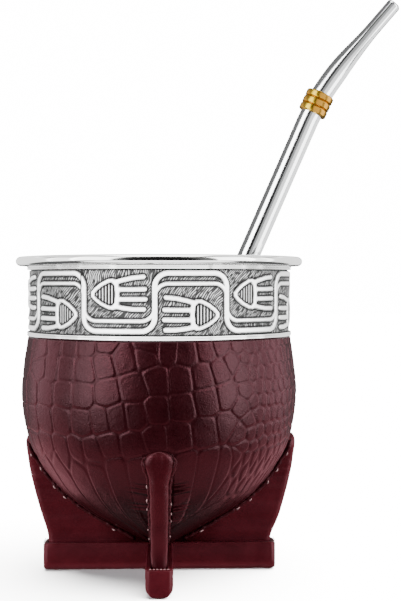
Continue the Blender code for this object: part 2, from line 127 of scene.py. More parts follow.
PANEL_COLOURS = {
    "leather": (1.0, 0.55, 0.63),
    "leather_low": (1.0, 0.36, 0.43),
    "brass_yellow": (0.86, 1.0, 0.30),
    "brass_orange": (1.0, 0.82, 0.55),
}
CHASING = ("band_chased", "top_beads_polished", "base_ring_polished")
SIDES = ("fin_right_leather", "fin_back_leather", "fin_left_leather", "strip_sides_leather")
LEATHER = (
    "croc_leather", *SIDES, "fin_front_leather", "strip_front_leather", "strip_back_leather", "seam_rolls",
)
BRASS = ("straw_ring_lower_brass", "straw_ring_middle_brass", "straw_ring_upper_brass")
LIT_PIECES = {
    "metal": ("rim_polished", *CHASING),
    "chasing": CHASING,
    "leather": LEATHER,
    "leather_low": LEATHER,
    "sides": SIDES,
    "straw": ("straw_polished",),
    "brass_yellow": BRASS,
    "brass_orange": BRASS,
}
PANEL_DISTANCE = 1.2
PANEL_TARGET = Vector((0, 0, 0.07))
SUN_PLACE = (0.55, 0.08, 1.45)
SUN_POWER = 66.0
SUN_ANGLE = 86.0
FILL_POWER = 1.0
DARK_HALF_WIDTH = 0.62
DARK_HALF_HEIGHT = 0.85
DARK_SHARE = 0.06
ROOM_GREY = 0.22
ROOM_FLOOR = 0.14
BACKDROP_WHITE = 16.0
FLOOR_REACH = 3000.0

# Contents, in millimetres
BED_MIDDLE = 78.4
BED_SLOPE = -0.17
POOL_LEVEL = 77.6
POOL_DEPTH = 2.4
BED_REACH = 35.9
POOL_REACH = 36.3


def value_noise(x, y, seed, wrap=0):
    """Smooth noise from -1 to 1 over a unit lattice; wrap repeats it along x after that many cells."""
    table = np.random.default_rng(seed).uniform(-1, 1, (256, 256))
    column = np.floor(x).astype(int)
    row = np.floor(y).astype(int)
    across = x - column
    up = y - row
    across = across * across * (3 - 2 * across)
    up = up * up * (3 - 2 * up)

    def corner(i, j):
        i = np.mod(i, wrap) if wrap else i
        return table[np.mod(i, 256), np.mod(j, 256)]

    low = corner(column, row) * (1 - across) + corner(column + 1, row) * across
    high = corner(column, row + 1) * (1 - across) + corner(column + 1, row + 1) * across
    return low * (1 - up) + high * up


def smooth_step(low, high, value):
    t = np.clip((value - low) / (high - low), 0.0, 1.0)
    return t * t * (3 - 2 * t)


def hill(value, centre, width):
    """A smooth bump, 1 high at the centre."""
    return np.exp(-(((value - centre) / width) ** 2))


def plateau(value, start, full, fading, end):
    """Rises from 0 at the start to 1 where full, and falls again from fading to the end."""
    return smooth_step(start, full, value) * (1 - smooth_step(fading, end, value))


def signed_power(value, power):
    return np.sign(value) * np.abs(value) ** power


def wrapped(angle):
    return (angle + math.pi) % TURN - math.pi


def full_turn(steps):
    return np.arange(steps) * TURN / steps


def ring_points(radius, height, angles):
    """Points about the cup's axis, one for each radius, height and angle."""
    radius, height, angles = np.broadcast_arrays(radius, height, angles)
    return np.stack([radius * np.cos(angles), radius * np.sin(angles), height], axis=-1)


def turned_about(points, degrees):
    """The points, turned about the cup's axis."""
    cosine, sine = math.cos(math.radians(degrees)), math.sin(math.radians(degrees))
    x, y, z = np.moveaxis(np.asarray(points, float), -1, 0)
    return np.stack([x * cosine - y * sine, x * sine + y * cosine, z], axis=-1)


def arc(centre, radii, start, end, count):
    """Points along a round or oval arc, between two angles in degrees."""
    angles = np.radians(np.linspace(start, end, count))
    return [(centre[0] + radii[0] * math.cos(a), centre[1] + radii[1] * math.sin(a)) for a in angles]


def directions(line):
    """The unit direction of a line at each of its points."""
    along = np.gradient(line, axis=0)
    return along / np.linalg.norm(along, axis=1, keepdims=True)


def wall_faces(rows, columns, around=True):
    """The four-sided faces over a grid of points; the columns close round if asked."""
    index = np.arange(rows * columns).reshape(rows, columns)
    here = index if around else index[:, :-1]
    after = np.roll(index, -1, axis=1) if around else index[:, 1:]
    return np.stack([here[:-1], after[:-1], after[1:], here[1:]], axis=-1).reshape(-1, 4)


def tube_faces(rows, columns):
    """The faces of a tube of rings, with a flat cap over each end."""
    last = (rows - 1) * columns
    caps = [list(range(columns))[::-1], list(range(last, last + columns))]
    return wall_faces(rows, columns).tolist() + caps


def in_scene(name, data):
    obj = bpy.data.objects.new(name, data)
    bpy.context.scene.collection.objects.link(obj)
    return obj


def grid_piece(name, points, around=True, polish_and_shade=None):
    """A mesh over a (rows, columns, 3) array of points in millimetres; polish_and_shade is a shade for each
    point, of polish and painted shade.
    """
    rows, columns, _ = points.shape
    faces = wall_faces(rows, columns, around).astype(np.int32)
    mesh = bpy.data.meshes.new(name)
    mesh.vertices.add(rows * columns)
    mesh.vertices.foreach_set("co", (points * MM).astype(np.float32).ravel())
    mesh.loops.add(faces.size)
    mesh.loops.foreach_set("vertex_index", faces.ravel())
    mesh.polygons.add(len(faces))
    mesh.polygons.foreach_set("loop_start", np.arange(0, faces.size, 4, dtype=np.int32))
    mesh.update(calc_edges=True)
    if polish_and_shade is not None:
        colour = np.ones((rows * columns, 4), np.float32)
        colour[:, :3] = polish_and_shade.reshape(-1, 1)
        layer = mesh.color_attributes.new("polish_and_shade", "FLOAT_COLOR", "POINT")
        layer.data.foreach_set("color", colour.ravel())
    mesh.shade_smooth()
    return in_scene(name, mesh)


def mesh_piece(name, vertices, faces, smooth=True):
    mesh = bpy.data.meshes.new(name)
    mesh.from_pydata((np.asarray(vertices) * MM).tolist(), [], faces)
    mesh.update()
    if smooth:
        mesh.shade_smooth()
    return in_scene(name, mesh)


def joined(name, parts, smooth=True):
    """One piece made of many parts, each with its vertices and faces."""
    vertices, faces, start = [], [], 0
    for part_vertices, part_faces in parts:
        vertices.append(part_vertices)
        faces += [[start + index for index in face] for face in part_faces]
        start += len(part_vertices)
    return mesh_piece(name, np.vstack(vertices), faces, smooth)


def tube_along(points, radius, sides=10):
    """Vertices and faces of a closed tube along the points."""
    points = np.asarray(points, float)
    along = directions(points)
    helper = (0.0, 0.0, 1.0) if abs(along[0][2]) < 0.9 else (1.0, 0.0, 0.0)
    first = np.cross(along, helper)
    first /= np.linalg.norm(first, axis=1, keepdims=True)
    second = np.cross(along, first)
    around = full_turn(sides)[:, None]
    ring = np.cos(around) * first[:, None, :] + np.sin(around) * second[:, None, :]
    radii = np.broadcast_to(radius, len(points))[:, None, None]
    return (points[:, None, :] + ring * radii).reshape(-1, 3), tube_faces(len(points), sides)


def dress(obj, material, slot, *nodes):
    """Gives a piece its material, lets it ride, and hides the solids that it stands for; its slot is not
    used.
    """
    obj.data.materials.clear()
    obj.data.materials.append(material)
    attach(obj, "root")
    if nodes:
        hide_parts(*nodes)
    return obj


def turned_piece(name, profile, steps=192):
    """Revolves (radius, height) points, top to bottom down the outer side."""
    profile = np.asarray(profile)[::-1]
    return grid_piece(name, ring_points(profile[:, :1], profile[:, 1:], full_turn(steps)))


def catmull(knots, steps):
    """Points along a smooth curve through the knots (rows of an array)."""
    knots = np.asarray(knots, float)
    ends = np.vstack([2 * knots[0] - knots[1], knots, 2 * knots[-1] - knots[-2]])
    t = (np.arange(steps) / steps)[:, None]
    points = []
    for before, start, end, after in zip(ends, ends[1:], ends[2:], ends[3:]):
        points.append(
            0.5 * (2 * start + (end - before) * t + (2 * before - 5 * start + 4 * end - after) * t**2
            + (3 * start - before - 3 * end + after) * t**3)
        )
    return np.vstack([*points, knots[-1:]])


def resampled(line, count):
    """The line's points spread evenly along it."""
    run = np.concatenate([[0.0], np.cumsum(np.linalg.norm(np.diff(line, axis=0), axis=1))])
    places = np.linspace(0, run[-1], count)
    return np.stack([np.interp(places, run, line[:, axis]) for axis in range(line.shape[1])], axis=-1), places


# Materials

def feed(tree, node, inputs):
    """Links each of the node's inputs to the socket given for it, or sets it to the value given."""
    for key, value in inputs.items():
        if isinstance(value, bpy.types.NodeSocket):
            tree.links.new(value, node.inputs[key])
        else:
            node.inputs[key].default_value = value


def add_node(tree, kind, inputs, **settings):
    node = tree.nodes.new(f"ShaderNode{kind}")
    for key, value in settings.items():
        setattr(node, key, value)
    feed(tree, node, inputs)
    return node


def new_material(name, scale=(1000, 1000, 1000)):
    """A material, its node tree, and object coordinates in it: in millimetres, unless scaled otherwise."""
    material = bpy.data.materials.new(name)
    material.use_nodes = True
    tree = material.node_tree
    place = add_node(tree, "TexCoord", {}).outputs["Object"]
    return material, tree, add_node(tree, "Mapping", {"Vector": place, "Scale": scale}).outputs["Vector"]


def shaded(material, inputs):
    feed(material.node_tree, material.node_tree.nodes["Principled BSDF"], inputs)
    return material


def noise(tree, place, scale, detail, roughness=0.5):
    inputs = {"Vector": place, "Scale": scale, "Detail": detail, "Roughness": roughness}
    return add_node(tree, "TexNoise", inputs).outputs["Fac"]


def cells(tree, place, scale):
    return add_node(tree, "TexVoronoi", {"Vector": place, "Scale": scale}, feature="F1")


def bump(tree, height, strength, distance):
    inputs = {"Height": height, "Strength": strength, "Distance": distance}
    return add_node(tree, "Bump", inputs).outputs["Normal"]


def ramp(tree, source, stops):
    """A colour ramp over the source; each stop has its place and a grey or a colour."""
    node = add_node(tree, "ValToRGB", {"Fac": source})
    elements = node.color_ramp.elements
    while len(elements) < len(stops):
        elements.new(0.5)
    for element, (place, colour) in zip(elements, stops):
        element.position = place
        element.color = (*(colour if isinstance(colour, tuple) else (colour,) * 3), 1.0)
    return node.outputs["Color"]


def calculated(tree, operation, *values):
    node = add_node(tree, "Math", dict(enumerate(values)), operation=operation)
    return node.outputs["Value"]


def multiplied(tree, first, second):
    node = add_node(tree, "VectorMath", {0: first, 1: second}, operation="MULTIPLY")
    return node.outputs["Vector"]


def leather_material(name, dark, light, roughness, grain):
    """Glossy dyed leather: pore grain, slight mottling, and uneven gloss."""
    material, tree, place = new_material(name)
    crease = noise(tree, place, 1.1, 6.0, 0.65)
    height = calculated(tree, "ADD", cells(tree, place, 2.6).outputs["Distance"], crease)
    return shaded(material, {
        "Base Color": ramp(tree, noise(tree, place, 0.16, 4.0, 0.6), [(0.3, dark), (0.72, light)]),
        "Roughness": ramp(tree, crease, [(0.3, roughness - 0.05), (0.75, roughness + 0.09)]),
        "Normal": bump(tree, height, grain, 0.00012),
        "Specular IOR Level": 0.30,
        "Specular Tint": (1.0, 0.48, 0.56, 1.0),
    })


def metal_material(name, colour, roughness):
    """Polished metal with faint smudges and hairline polishing marks."""
    material, tree, place = new_material(name)
    smudge = noise(tree, place, 0.12, 5.0, 0.6)
    darker = tuple(0.93 * part for part in colour)
    return shaded(material, {
        "Base Color": ramp(tree, smudge, [(0.3, colour), (0.8, darker)]),
        "Roughness": ramp(tree, smudge, [(0.35, roughness), (0.8, roughness + 0.09)]),
        "Normal": bump(tree, noise(tree, place, 3.0, 3.0, 0.7), 0.02, 0.00005),
        "Metallic": 1.0,
    })


def chased_material(name):
    """Silver that is polished where the relief stands up and blackened in its ground and cuts, with painted
    shade darkening it along the band's top and bottom edges.
    """
    material, tree, place = new_material(name)
    # The vertex colour is the band's polish and oxide, with painted shade along its top and bottom edges.
    worn_polish_and_shade = add_node(tree, "VertexColor", {}, layer_name="polish_and_shade").outputs["Color"]
    stain = noise(tree, place, 0.7, 5.0, 0.7)
    stained_polish_and_shade = calculated(tree, "MULTIPLY_ADD", stain, 0.16, worn_polish_and_shade)
    return shaded(material, {
        "Base Color": ramp(tree, stained_polish_and_shade, [(0.08, 0.010), (0.34, 0.040), (0.64, 0.24), (0.92, 0.93)]),
        "Roughness": ramp(tree, stained_polish_and_shade, [(0.1, 0.60), (0.5, 0.46), (0.95, 0.34)]),
        "Normal": bump(tree, stain, 0.15, 0.00005),
        "Metallic": 1.0,
    })


def rind_material(name):
    """Cured gourd: tan and brown, stained darker by use."""
    material, tree, place = new_material(name, (1000, 1000, 300))
    stain = noise(tree, place, 0.25, 8.0, 0.7)
    stops = [(0.3, (0.10, 0.045, 0.016)), (0.55, (0.24, 0.13, 0.05)), (0.8, (0.40, 0.25, 0.11))]
    return shaded(material, {
        "Base Color": ramp(tree, stain, stops),
        "Normal": bump(tree, stain, 0.5, 0.0003),
        "Roughness": 0.7,
    })


def leaf_material(name, stops, roughness, scale):
    """Cut leaf or stem: each bit of another tint, in lighter and darker patches."""
    material, tree, place = new_material(name)
    split = add_node(tree, "SeparateColor", {"Color": cells(tree, place, scale).outputs["Color"]})
    patches = ramp(tree, noise(tree, place, 0.15, 4.0, 0.6), [(0.36, 0.50), (0.66, 1.0)])
    return shaded(material, {
        "Base Color": multiplied(tree, ramp(tree, split.outputs["Red"], stops), patches),
        "Normal": bump(tree, noise(tree, place, 3.0, 4.0), 0.6, 0.0002),
        "Roughness": roughness,
    })


def infusion_material(name):
    """Cloudy green-gold liquid."""
    material, tree, place = new_material(name)
    stops = [(0.3, (0.060, 0.055, 0.008)), (0.55, (0.13, 0.115, 0.018)), (0.8, (0.24, 0.21, 0.045))]
    return shaded(material, {
        "Base Color": ramp(tree, noise(tree, place, 0.14, 5.0, 0.6), stops),
        "Roughness": 0.06,
        "IOR": 1.34,
    })


def froth_material(name):
    """Pale froth, each bubble a thin wet skin."""
    material, tree, place = new_material(name)
    stops = [(0.3, (0.36, 0.36, 0.12)), (0.75, (0.66, 0.66, 0.38))]
    return shaded(material, {
        "Base Color": ramp(tree, noise(tree, place, 0.5, 3.0), stops),
        "Roughness": 0.12,
        "IOR": 1.33,
        "Subsurface Weight": 0.2,
        "Subsurface Radius": (0.0006, 0.0006, 0.0003),
    })


def thread_material(name, colour):
    """Waxed thread, darker where it twists."""
    material, tree, place = new_material(name)
    twist = noise(tree, place, 4.0, 3.0)
    darker = tuple(0.55 * part for part in colour)
    return shaded(material, {
        "Base Color": ramp(tree, twist, [(0.3, darker), (0.6, colour)]),
        "Normal": bump(tree, twist, 0.4, 0.0001),
        "Roughness": 0.5,
        "Sheen Weight": 0.3,
    })


def floor_material(name):
    """A pale floor, very faintly clouded."""
    material, tree, place = new_material(name, (10, 10, 10))
    stops = [(0.3, (0.93, 0.93, 0.94)), (0.7, (0.95, 0.95, 0.95))]
    return shaded(material, {
        "Base Color": ramp(tree, noise(tree, place, 0.6, 2.0), stops),
        "Roughness": 0.85,
    })


LEAF_TINTS = [
    (0.0, (0.055, 0.065, 0.014)), (0.35, (0.12, 0.13, 0.03)),
    (0.7, (0.20, 0.20, 0.06)), (1.0, (0.30, 0.27, 0.11)),
]
STEM_TINTS = [(0.0, (0.20, 0.17, 0.06)), (0.5, (0.34, 0.29, 0.12)), (1.0, (0.46, 0.38, 0.19))]


# Leather cover

def outward(line):
    """The unit direction out of the bowl at each point down its outline."""
    along = directions(line)
    return np.stack([-along[:, 1], along[:, 0]], axis=-1)


def bowl_line(count, inset=0.0):
    """(radius, height) points down the bowl's outline, evenly spread, and the run along it."""
    line = catmull([(radius, height) for height, radius in BOWL_OUTLINE], 24)
    return resampled(line - outward(line) * inset, count)


# Belly scales on the front, row by row: degrees from the front (positive to the right), millimetres down
BELLY = [
    (-58, 3.0), (-47, 0.8), (-39, 1.0), (-30.2, 0.6), (-21.5, 0.2), (-4.5, 1.6), (3.5, 2.4),
    (11.2, 3.0), (18.8, 2.2), (25, 0.8),
    (-56.5, 8.0), (-48, 7.6), (-39.8, 7.8), (-30, 8.1), (-22.2, 6.4), (-13.5, 4.4), (-5, 3.2),
    (-0.8, 10.6), (8.2, 10.2), (17, 9.4), (24, 8.0), (29.8, 5.7),
    (-62.8, 15.5), (-51, 15.3), (-40.2, 15.5), (-30.8, 15.6), (-20, 14.6), (-9.8, 12.9),
    (-0.8, 19.4), (8.8, 18.6), (18.2, 17.0), (27, 15.7),
    (-63.5, 24.4), (-52.5, 23.7), (-41.8, 23.6), (-31.5, 23.6), (-23, 22.6), (-16, 21.8), (-9, 21.2),
    (-1.2, 27.7), (7.8, 27.2), (17.8, 26.0), (27.5, 24.4),
    (-64, 32.5), (-54.5, 31.8), (-43.5, 32), (-36, 31.8), (-28, 31.8), (-19.8, 30.2), (-10.8, 29.8),
    (-62, 44), (-51.2, 44.3), (-38, 44.3), (-28.5, 44.3), (-18.5, 43.5), (-8.5, 43),
    (1.0, 41.2), (11, 40.6), (20.8, 39.8), (30, 38.6),
]
SIDE_COLUMNS = (-73.5, -84.5)
SIDE_ROWS = (0.5, 8.2, 16.4, 24.6, 32.8, 46.0)
FLANK_START = 34.5
FLANK_PITCH = 5.2
FLANK_ROW = 4.3
STRETCH_START = 34.0
STRETCH = 0.35
LAST_ROW = 62.0
CORNER_SHARPNESS = 2.6
SCALE_RISE = 0.07
JOINT_DEPTH = 0.19
JOINT_WIDTH = 0.24
GATHER_DEPTH = 0.40
COVER_GRID = (230, 840)


def scale_centres():
    """(angle, run) centres of the scales: of the belly in front and behind, small and round on the flanks."""
    draw = np.random.default_rng(11)
    front = list(BELLY)
    for column in SIDE_COLUMNS:
        front += [(column + draw.uniform(-1, 1), row + draw.uniform(-0.6, 0.6)) for row in SIDE_ROWS]
    row, run = 0, 1.2
    while run < LAST_ROW:
        angle = FLANK_START + 0.5 * FLANK_PITCH * (row % 2)
        while angle < 90.0:
            place = angle + draw.uniform(-0.2, 0.2) * FLANK_PITCH
            front.append((place, run + draw.uniform(-0.24, 0.24) * FLANK_ROW - 0.03 * (angle - FLANK_START)))
            angle += FLANK_PITCH * (1.0 + 0.5 * (run > 50))
        run += FLANK_ROW * (1.0 + 1.6 * float(smooth_step(STRETCH_START, STRETCH_START + 20, run)))
        row += 1
    behind = [(180.0 - angle, run + 0.4 * math.sin(angle)) for angle, run in front]
    return np.array([(math.radians(angle), run) for angle, run in front + behind])


def stretched(run):
    """The run as the scales see it: low on the bowl they are long, so it grows slowly there."""
    return np.where(run < STRETCH_START, run, STRETCH_START + (run - STRETCH_START) * STRETCH)


def scale_distance(angle, run, radius, centres, chunk=4000):
    """Distance from each place to the edge of its scale, with rounded corners, and the scale's number."""
    flat_angle, flat_run, flat_radius = angle.ravel(), stretched(run.ravel()), radius.ravel()
    centres = np.stack([centres[:, 0], stretched(centres[:, 1])], axis=-1)
    edge = np.empty(flat_angle.size)
    owner = np.empty(flat_angle.size, int)
    for start in range(0, flat_angle.size, chunk):
        part = slice(start, start + chunk)
        reach = flat_radius[part, None]
        across = wrapped(centres[None, :, 0] - flat_angle[part, None]) * reach
        down = centres[None, :, 1] - flat_run[part, None]
        square = across**2 + down**2
        nearest = square.argmin(axis=1)
        rows = np.arange(len(nearest))
        gap = np.hypot(across - across[rows, nearest][:, None], down - down[rows, nearest][:, None])
        gap[rows, nearest] = 1.0
        between = (square - square[rows, nearest][:, None]) / (2 * gap)
        between[rows, nearest] = 50.0
        sharp = CORNER_SHARPNESS
        edge[part] = -np.log(np.exp(-sharp * np.minimum(between, 12)).sum(axis=1)) / sharp
        owner[part] = nearest
    return edge.reshape(angle.shape), owner.reshape(angle.shape)


def gathers(angle, radius, run):
    """Small folds that fan out of the seams beside each fin, low on the bowl."""
    folds = 0
    along = plateau(run, 40, 46, 58, 68)
    for fin in range(4):
        turn = wrapped(angle - fin * math.pi / 2)
        beside = np.abs(turn) * radius
        share = np.where(turn > 0, 1.0, 0.45) * plateau(beside, 2.4, 4.0, 5.0, 10.5) * along
        folds = folds + share * np.sin(run * 2.1 + beside * 0.5 + 2.2 * np.sin(run * 0.7 + fin))
    return GATHER_DEPTH * folds


def cover_relief(angle, radius, run):
    """How far the leather stands out of its outline: tilted scales, pressed joints, pebbling and gathers."""
    centres = scale_centres()
    edge, owner = scale_distance(angle, run, np.maximum(radius, 12.0), centres)
    edge = np.maximum(edge, 0)
    scales = SCALE_RISE * (1 - np.exp(-edge / 1.8)) - JOINT_DEPTH * hill(edge, 0, JOINT_WIDTH)
    scales += 0.032 * hill(edge, 0.60, 0.30)
    fade = 1.0 - 0.6 * smooth_step(STRETCH_START + 8, STRETCH_START + 32, run)
    tilts = np.random.default_rng(5).uniform(-0.016, 0.016, (len(centres), 2))[owner]
    across = wrapped(angle - centres[owner, 0]) * radius
    lean = tilts[..., 0] * across + tilts[..., 1] * (run - centres[owner, 1])
    pebbles = 0.05 * value_noise(angle * 60 / TURN, run / 4.4, 3, wrap=60)
    pebbles += 0.018 * value_noise(angle * 240 / TURN, run / 1.1, 4, wrap=240)
    return scales * fade + lean * smooth_step(0.2, 1.0, edge) + pebbles + gathers(angle, radius, run) - 0.14


def build_cover(material):
    rows, columns = COVER_GRID
    line, run = bowl_line(rows)
    angle = np.tile(full_turn(columns), (rows, 1))
    radius, height, run = (part[:, None] + 0 * angle for part in (line[:, 0], line[:, 1], run))
    relief = cover_relief(angle, radius, run)
    out = outward(line)
    front = full_turn(columns) - math.pi / 2
    lip = ring_points(np.array([[NECK_RADIUS + 0.5], [BOWL_OUTLINE[0][1] - 0.45]]), COVER_TOP, front)
    wall = ring_points(radius + out[:, :1] * relief, height + out[:, 1:] * relief, front)
    bottom = ring_points(np.array([[0.05]]), BOWL_OUTLINE[-1][0], front)
    cover = grid_piece("croc_leather", np.vstack([lip, wall, bottom])[::-1])
    return dress(cover, material, "crocodile_leather", "leather_cover")


# Fins, feet and stitching

ARCH_START = 40.6
ARCH_TOP = 43.8
FIN_NOSE = 2.4
FIN_SQUARENESS = 0.74
FIN_MORE = 0.12
FIN_NOTCH = 0.45
RIGHT_FIN_MORE = 0.9
FINS = {"right": 0, "back": 90, "left": 180, "front": 270}
CROSS_TURNS = (FINS["back"], FINS["front"])
SEAM_LOW = 10.2
SEAM_TOP = 42.5
WELT_RADIUS = 0.62
STITCH_SIZES = (0.8, 1.5)
STITCH_WIDTHS = (0.11, 0.22, 0.25, 0.22, 0.11)
SIDE_SEAM_PITCH = 6.2
CROSS_SEAM_PITCH = 3.9
END_STITCHES = 6
END_STITCH_PITCH = 1.05
STRIP_CORNER = 3.5
STRIP_SLOT = 2.45
END_STEPS = np.array([0.0, 0.12, 0.3, 0.6, 0.9, 1.28, 1.34, 3.0, 4.6, 4.9])


def fin_rows():
    """(height, reach, half thickness) up a fin, closing in an arch where it leaves the bowl."""
    rows = catmull(FIN_EDGE, 10)
    rows = rows[rows[:, 0] < ARCH_START]
    rows[:, 2] = rows[:, 2] / 2 + FIN_MORE * plateau(rows[:, 0], 9.8, 13.0, 31, 37)
    height, reach, half = rows[-1]
    steps = np.linspace(0, math.pi / 2, 12)[1:]
    arch = np.stack([
        height + (ARCH_TOP - height) * np.sin(steps),
        reach + 0.5 * np.sin(steps) - 1.6 * (1 - np.cos(steps)),
        half * np.maximum(np.cos(steps), 0.03) ** 0.8,
    ], axis=-1)
    return np.vstack([rows, arch])


def build_fins(material, front_shaded_material):
    """Four leather plates with rounded outer edges, that flare and arch over where they leave the bowl."""
    steps = np.linspace(math.pi / 2, -math.pi / 2, 25)
    nose = signed_power(np.cos(steps), FIN_SQUARENESS)
    side = signed_power(np.sin(steps), FIN_SQUARENESS)
    sections = []
    for height, reach, half in fin_rows():
        notch = FIN_NOTCH * plateau(height, 36.5, 41.0, 42.6, ARCH_TOP)
        edge = reach - FIN_NOSE + FIN_NOSE * nose - notch * hill(half * side, 0, 0.9)
        out = [1.0, reach * 0.55, *edge, reach * 0.55, 1.0]
        waver = 0.06 * math.sin(height * 0.9) + 0.04 * math.sin(height * 2.3 + 1.0)
        across = np.array([half, half, *(half * side), -half, -half]) + waver
        sections.append(np.stack([out, across, np.full(len(out), height)], axis=-1))
    for name, turn in FINS.items():
        own = np.array(sections)
        if name == "right":
            own[:, 2:-2, 0] += RIGHT_FIN_MORE * smooth_step(9.5, 17.0, own[:, 2:-2, 2])
        fin = grid_piece(f"fin_{name}_leather", turned_about(own, turn)[:, ::-1])
        # The front fin gets a darker copy of the plain leather: painted shade on the fin that faces the dark
        # front of the room.
        dress(fin, front_shaded_material if name == "front" else material, "plain_leather", f"fin_{name}")


def stitch(path, size, side, turn):
    """A short bowed thread over this bit of a seam."""
    ahead = path[-1] - path[0]
    ahead /= np.linalg.norm(ahead)
    span = np.linspace(-0.5, 0.5, 5)[:, None]
    lift = np.array([0.45, side * 0.62, -0.45]) * (0.99 - 0.14 * (2 * span) ** 2)
    points = path.mean(axis=0) + ahead * span * size + lift
    return tube_along(turned_about(points, turn), STITCH_WIDTHS, sides=8)


def build_seams(leather, thread):
    """A rolled seam on both sides of each fin, and the stitches that show in it."""
    line, run = bowl_line(160, inset=-0.7)
    sewn = (line[:, 1] < SEAM_TOP) & (line[:, 1] > SEAM_LOW)
    line, run = line[sewn], run[sewn]
    rows = fin_rows()
    half = np.interp(line[:, 1], rows[:, 0], rows[:, 2])
    welts, stitches = [], []
    draw = np.random.default_rng(21)
    for turn in FINS.values():
        for side in (-1, 1):
            pitch, measure, place = SIDE_SEAM_PITCH, run - run[0], 4.5
            if turn in CROSS_TURNS:
                pitch, measure, place = CROSS_SEAM_PITCH, line[0, 1] - line[:, 1], 9.0 + 1.4 * (side > 0)
            wobble = 0.16 * np.sin(run * 0.9 + turn) + 0.10 * np.sin(run * 2.3)
            off = side * (half + 0.18 + 0.10 * np.sin(run * 1.7 + turn))
            path = np.stack([line[:, 0] + wobble - 0.2, off, line[:, 1]], axis=-1)
            radius = WELT_RADIUS + 0.10 * np.sin(run * 2.9 + side)
            radius[:6] *= np.linspace(0.3, 1, 6)
            welts.append(tube_along(turned_about(path, turn), radius))
            while place < measure[-1] - 1.5:
                size = draw.uniform(*STITCH_SIZES)
                middle = run[np.abs(measure - place).argmin()]
                stitches.append(stitch(path[np.abs(run - middle) <= size / 2], size, side, turn))
                place += pitch * draw.uniform(0.72, 1.28)
    # The rolls take the darker seam leather: painted shade in the crease beside each fin.
    dress(joined("seam_rolls", welts), leather, "plain_leather")
    dress(joined("seam_stitches", stitches), thread, "plain_leather")


def mirrored(outline):
    return [(-x, z) for x, z in reversed(outline)]


def strip_section(half, height, corner, depth):
    """The outline of a strip seen from its end: down a side, round the foot, up the other, over the slot."""
    side = [(-half, height - 0.35), (-half, height * 0.5)]
    side += arc((corner - half, corner), (corner, corner), 180, 270, 10)
    top = [(half - 0.25, height), (STRIP_SLOT + 0.12, height)]
    top += [(STRIP_SLOT, height - min(depth, 0.2)), (STRIP_SLOT, height - depth)]
    return np.array(side + mirrored(side) + top + mirrored(top))


def build_strip(name, start, end, height, turn, material, closed_start=True):
    """A leather strip folded up round the foot of a fin and closed over its outer end."""
    near = END_STEPS if closed_start else END_STEPS[[0, 2]]
    sections = []
    for place in (*(start + near), *np.linspace(start + 7, end - 7, 14), *(end - END_STEPS[::-1])):
        from_end = min(place - start, end - place) if closed_start else end - place
        shrink = 1.1 * (1 - min(from_end / 1.5, 1.0)) ** 2
        reach = STRIP_WIDTH / 2 - shrink - (0.0 if from_end < 4.75 else 0.08)
        depth = 0.03 if from_end < 1.3 else 2.5
        section = strip_section(reach, height, min(STRIP_CORNER, 0.88 * reach), depth)
        section[:, 1] = np.clip(section[:, 1], shrink * 0.8, height - shrink * 0.5)
        ripple = 0.03 * math.sin(place * 0.55) + 0.02 * math.sin(place * 1.6 + 1)
        section[:, 0] += ripple * np.sign(section[:, 0])
        sections.append(np.column_stack([np.full(len(section), place), section]))
    points = turned_about(sections, turn)
    strip = mesh_piece(f"strip_{name}_leather", points.reshape(-1, 3), tube_faces(*points.shape[:2]))
    bevel = strip.modifiers.new("soft ends", "BEVEL")
    bevel.width = 0.0002
    bevel.segments = 2
    bevel.limit_method = "ANGLE"
    bevel.angle_limit = math.radians(40)
    dress(strip, material, "plain_leather", f"foot_strip_{name}")


def build_feet(material, thread):
    build_strip("sides", -STRIP_REACH, STRIP_REACH, STRIP_HEIGHT, 0, material)
    for name in ("front", "back"):
        near = STRIP_WIDTH / 2 + 0.3
        build_strip(name, near, CROSS_REACH, CROSS_HEIGHT, FINS[name], material, closed_start=False)
    stitches = []
    for turn in FINS.values():
        reach, height = STRIP_REACH, STRIP_HEIGHT
        if turn in CROSS_TURNS:
            reach, height = CROSS_REACH, CROSS_HEIGHT
        for across in (np.arange(END_STITCHES) - (END_STITCHES - 1) / 2) * END_STITCH_PITCH:
            ends = [
                (reach - 0.15, across - 0.3, height + 0.02), (reach - 0.1, across, height + 0.16),
                (reach - 0.15, across + 0.3, height + 0.02),
            ]
            stitches.append(tube_along(turned_about(ends, turn), (0.07, 0.11, 0.07), sides=6))
    dress(joined("foot_stitches", stitches), thread, "plain_leather")


# Metal of the rim and the band

BEAD_SHARE = 0.76
BAY = TURN * FIELD_RADIUS / 12
FIRST_TURN = math.radians(-1.7) * FIELD_RADIUS
OUTER_LINE = (78.28, 95.08)
INNER_LINE = (81.23, 92.08)
OUTER_HALF = 0.78
INNER_HALF = 0.60
CORNER = 4.0


def build_rim(material):
    roll = (RIM_TOP - RIM_UNDER) / 2
    under = RIM_UNDER + 0.05
    foot = [(MOUTH_RADIUS + 1.0, SLEEVE_BOTTOM)]
    profile = foot + [(MOUTH_RADIUS, SLEEVE_BOTTOM + 0.2), (MOUTH_RADIUS, 96.0)]
    profile += arc((MOUTH_RADIUS + 2.4, RIM_TOP - 2.3), (2.4, 2.0), 180, 90, 12)
    profile += [(RIM_RADIUS - 5.0, RIM_TOP - 0.08)]
    profile += arc((RIM_RADIUS - roll, RIM_UNDER + roll), (roll, roll), 90, -90, 24)
    profile += [(MOULDING_RADIUS + 0.3, under), (SLEEVE_RADIUS + 0.1, under)]
    profile += [(SLEEVE_RADIUS, RIM_UNDER - 0.5), (SLEEVE_RADIUS, SLEEVE_BOTTOM + 0.2)] + foot
    rim = turned_piece("rim_polished", profile, steps=256)
    return dress(rim, material, "polished_silver", "rim")


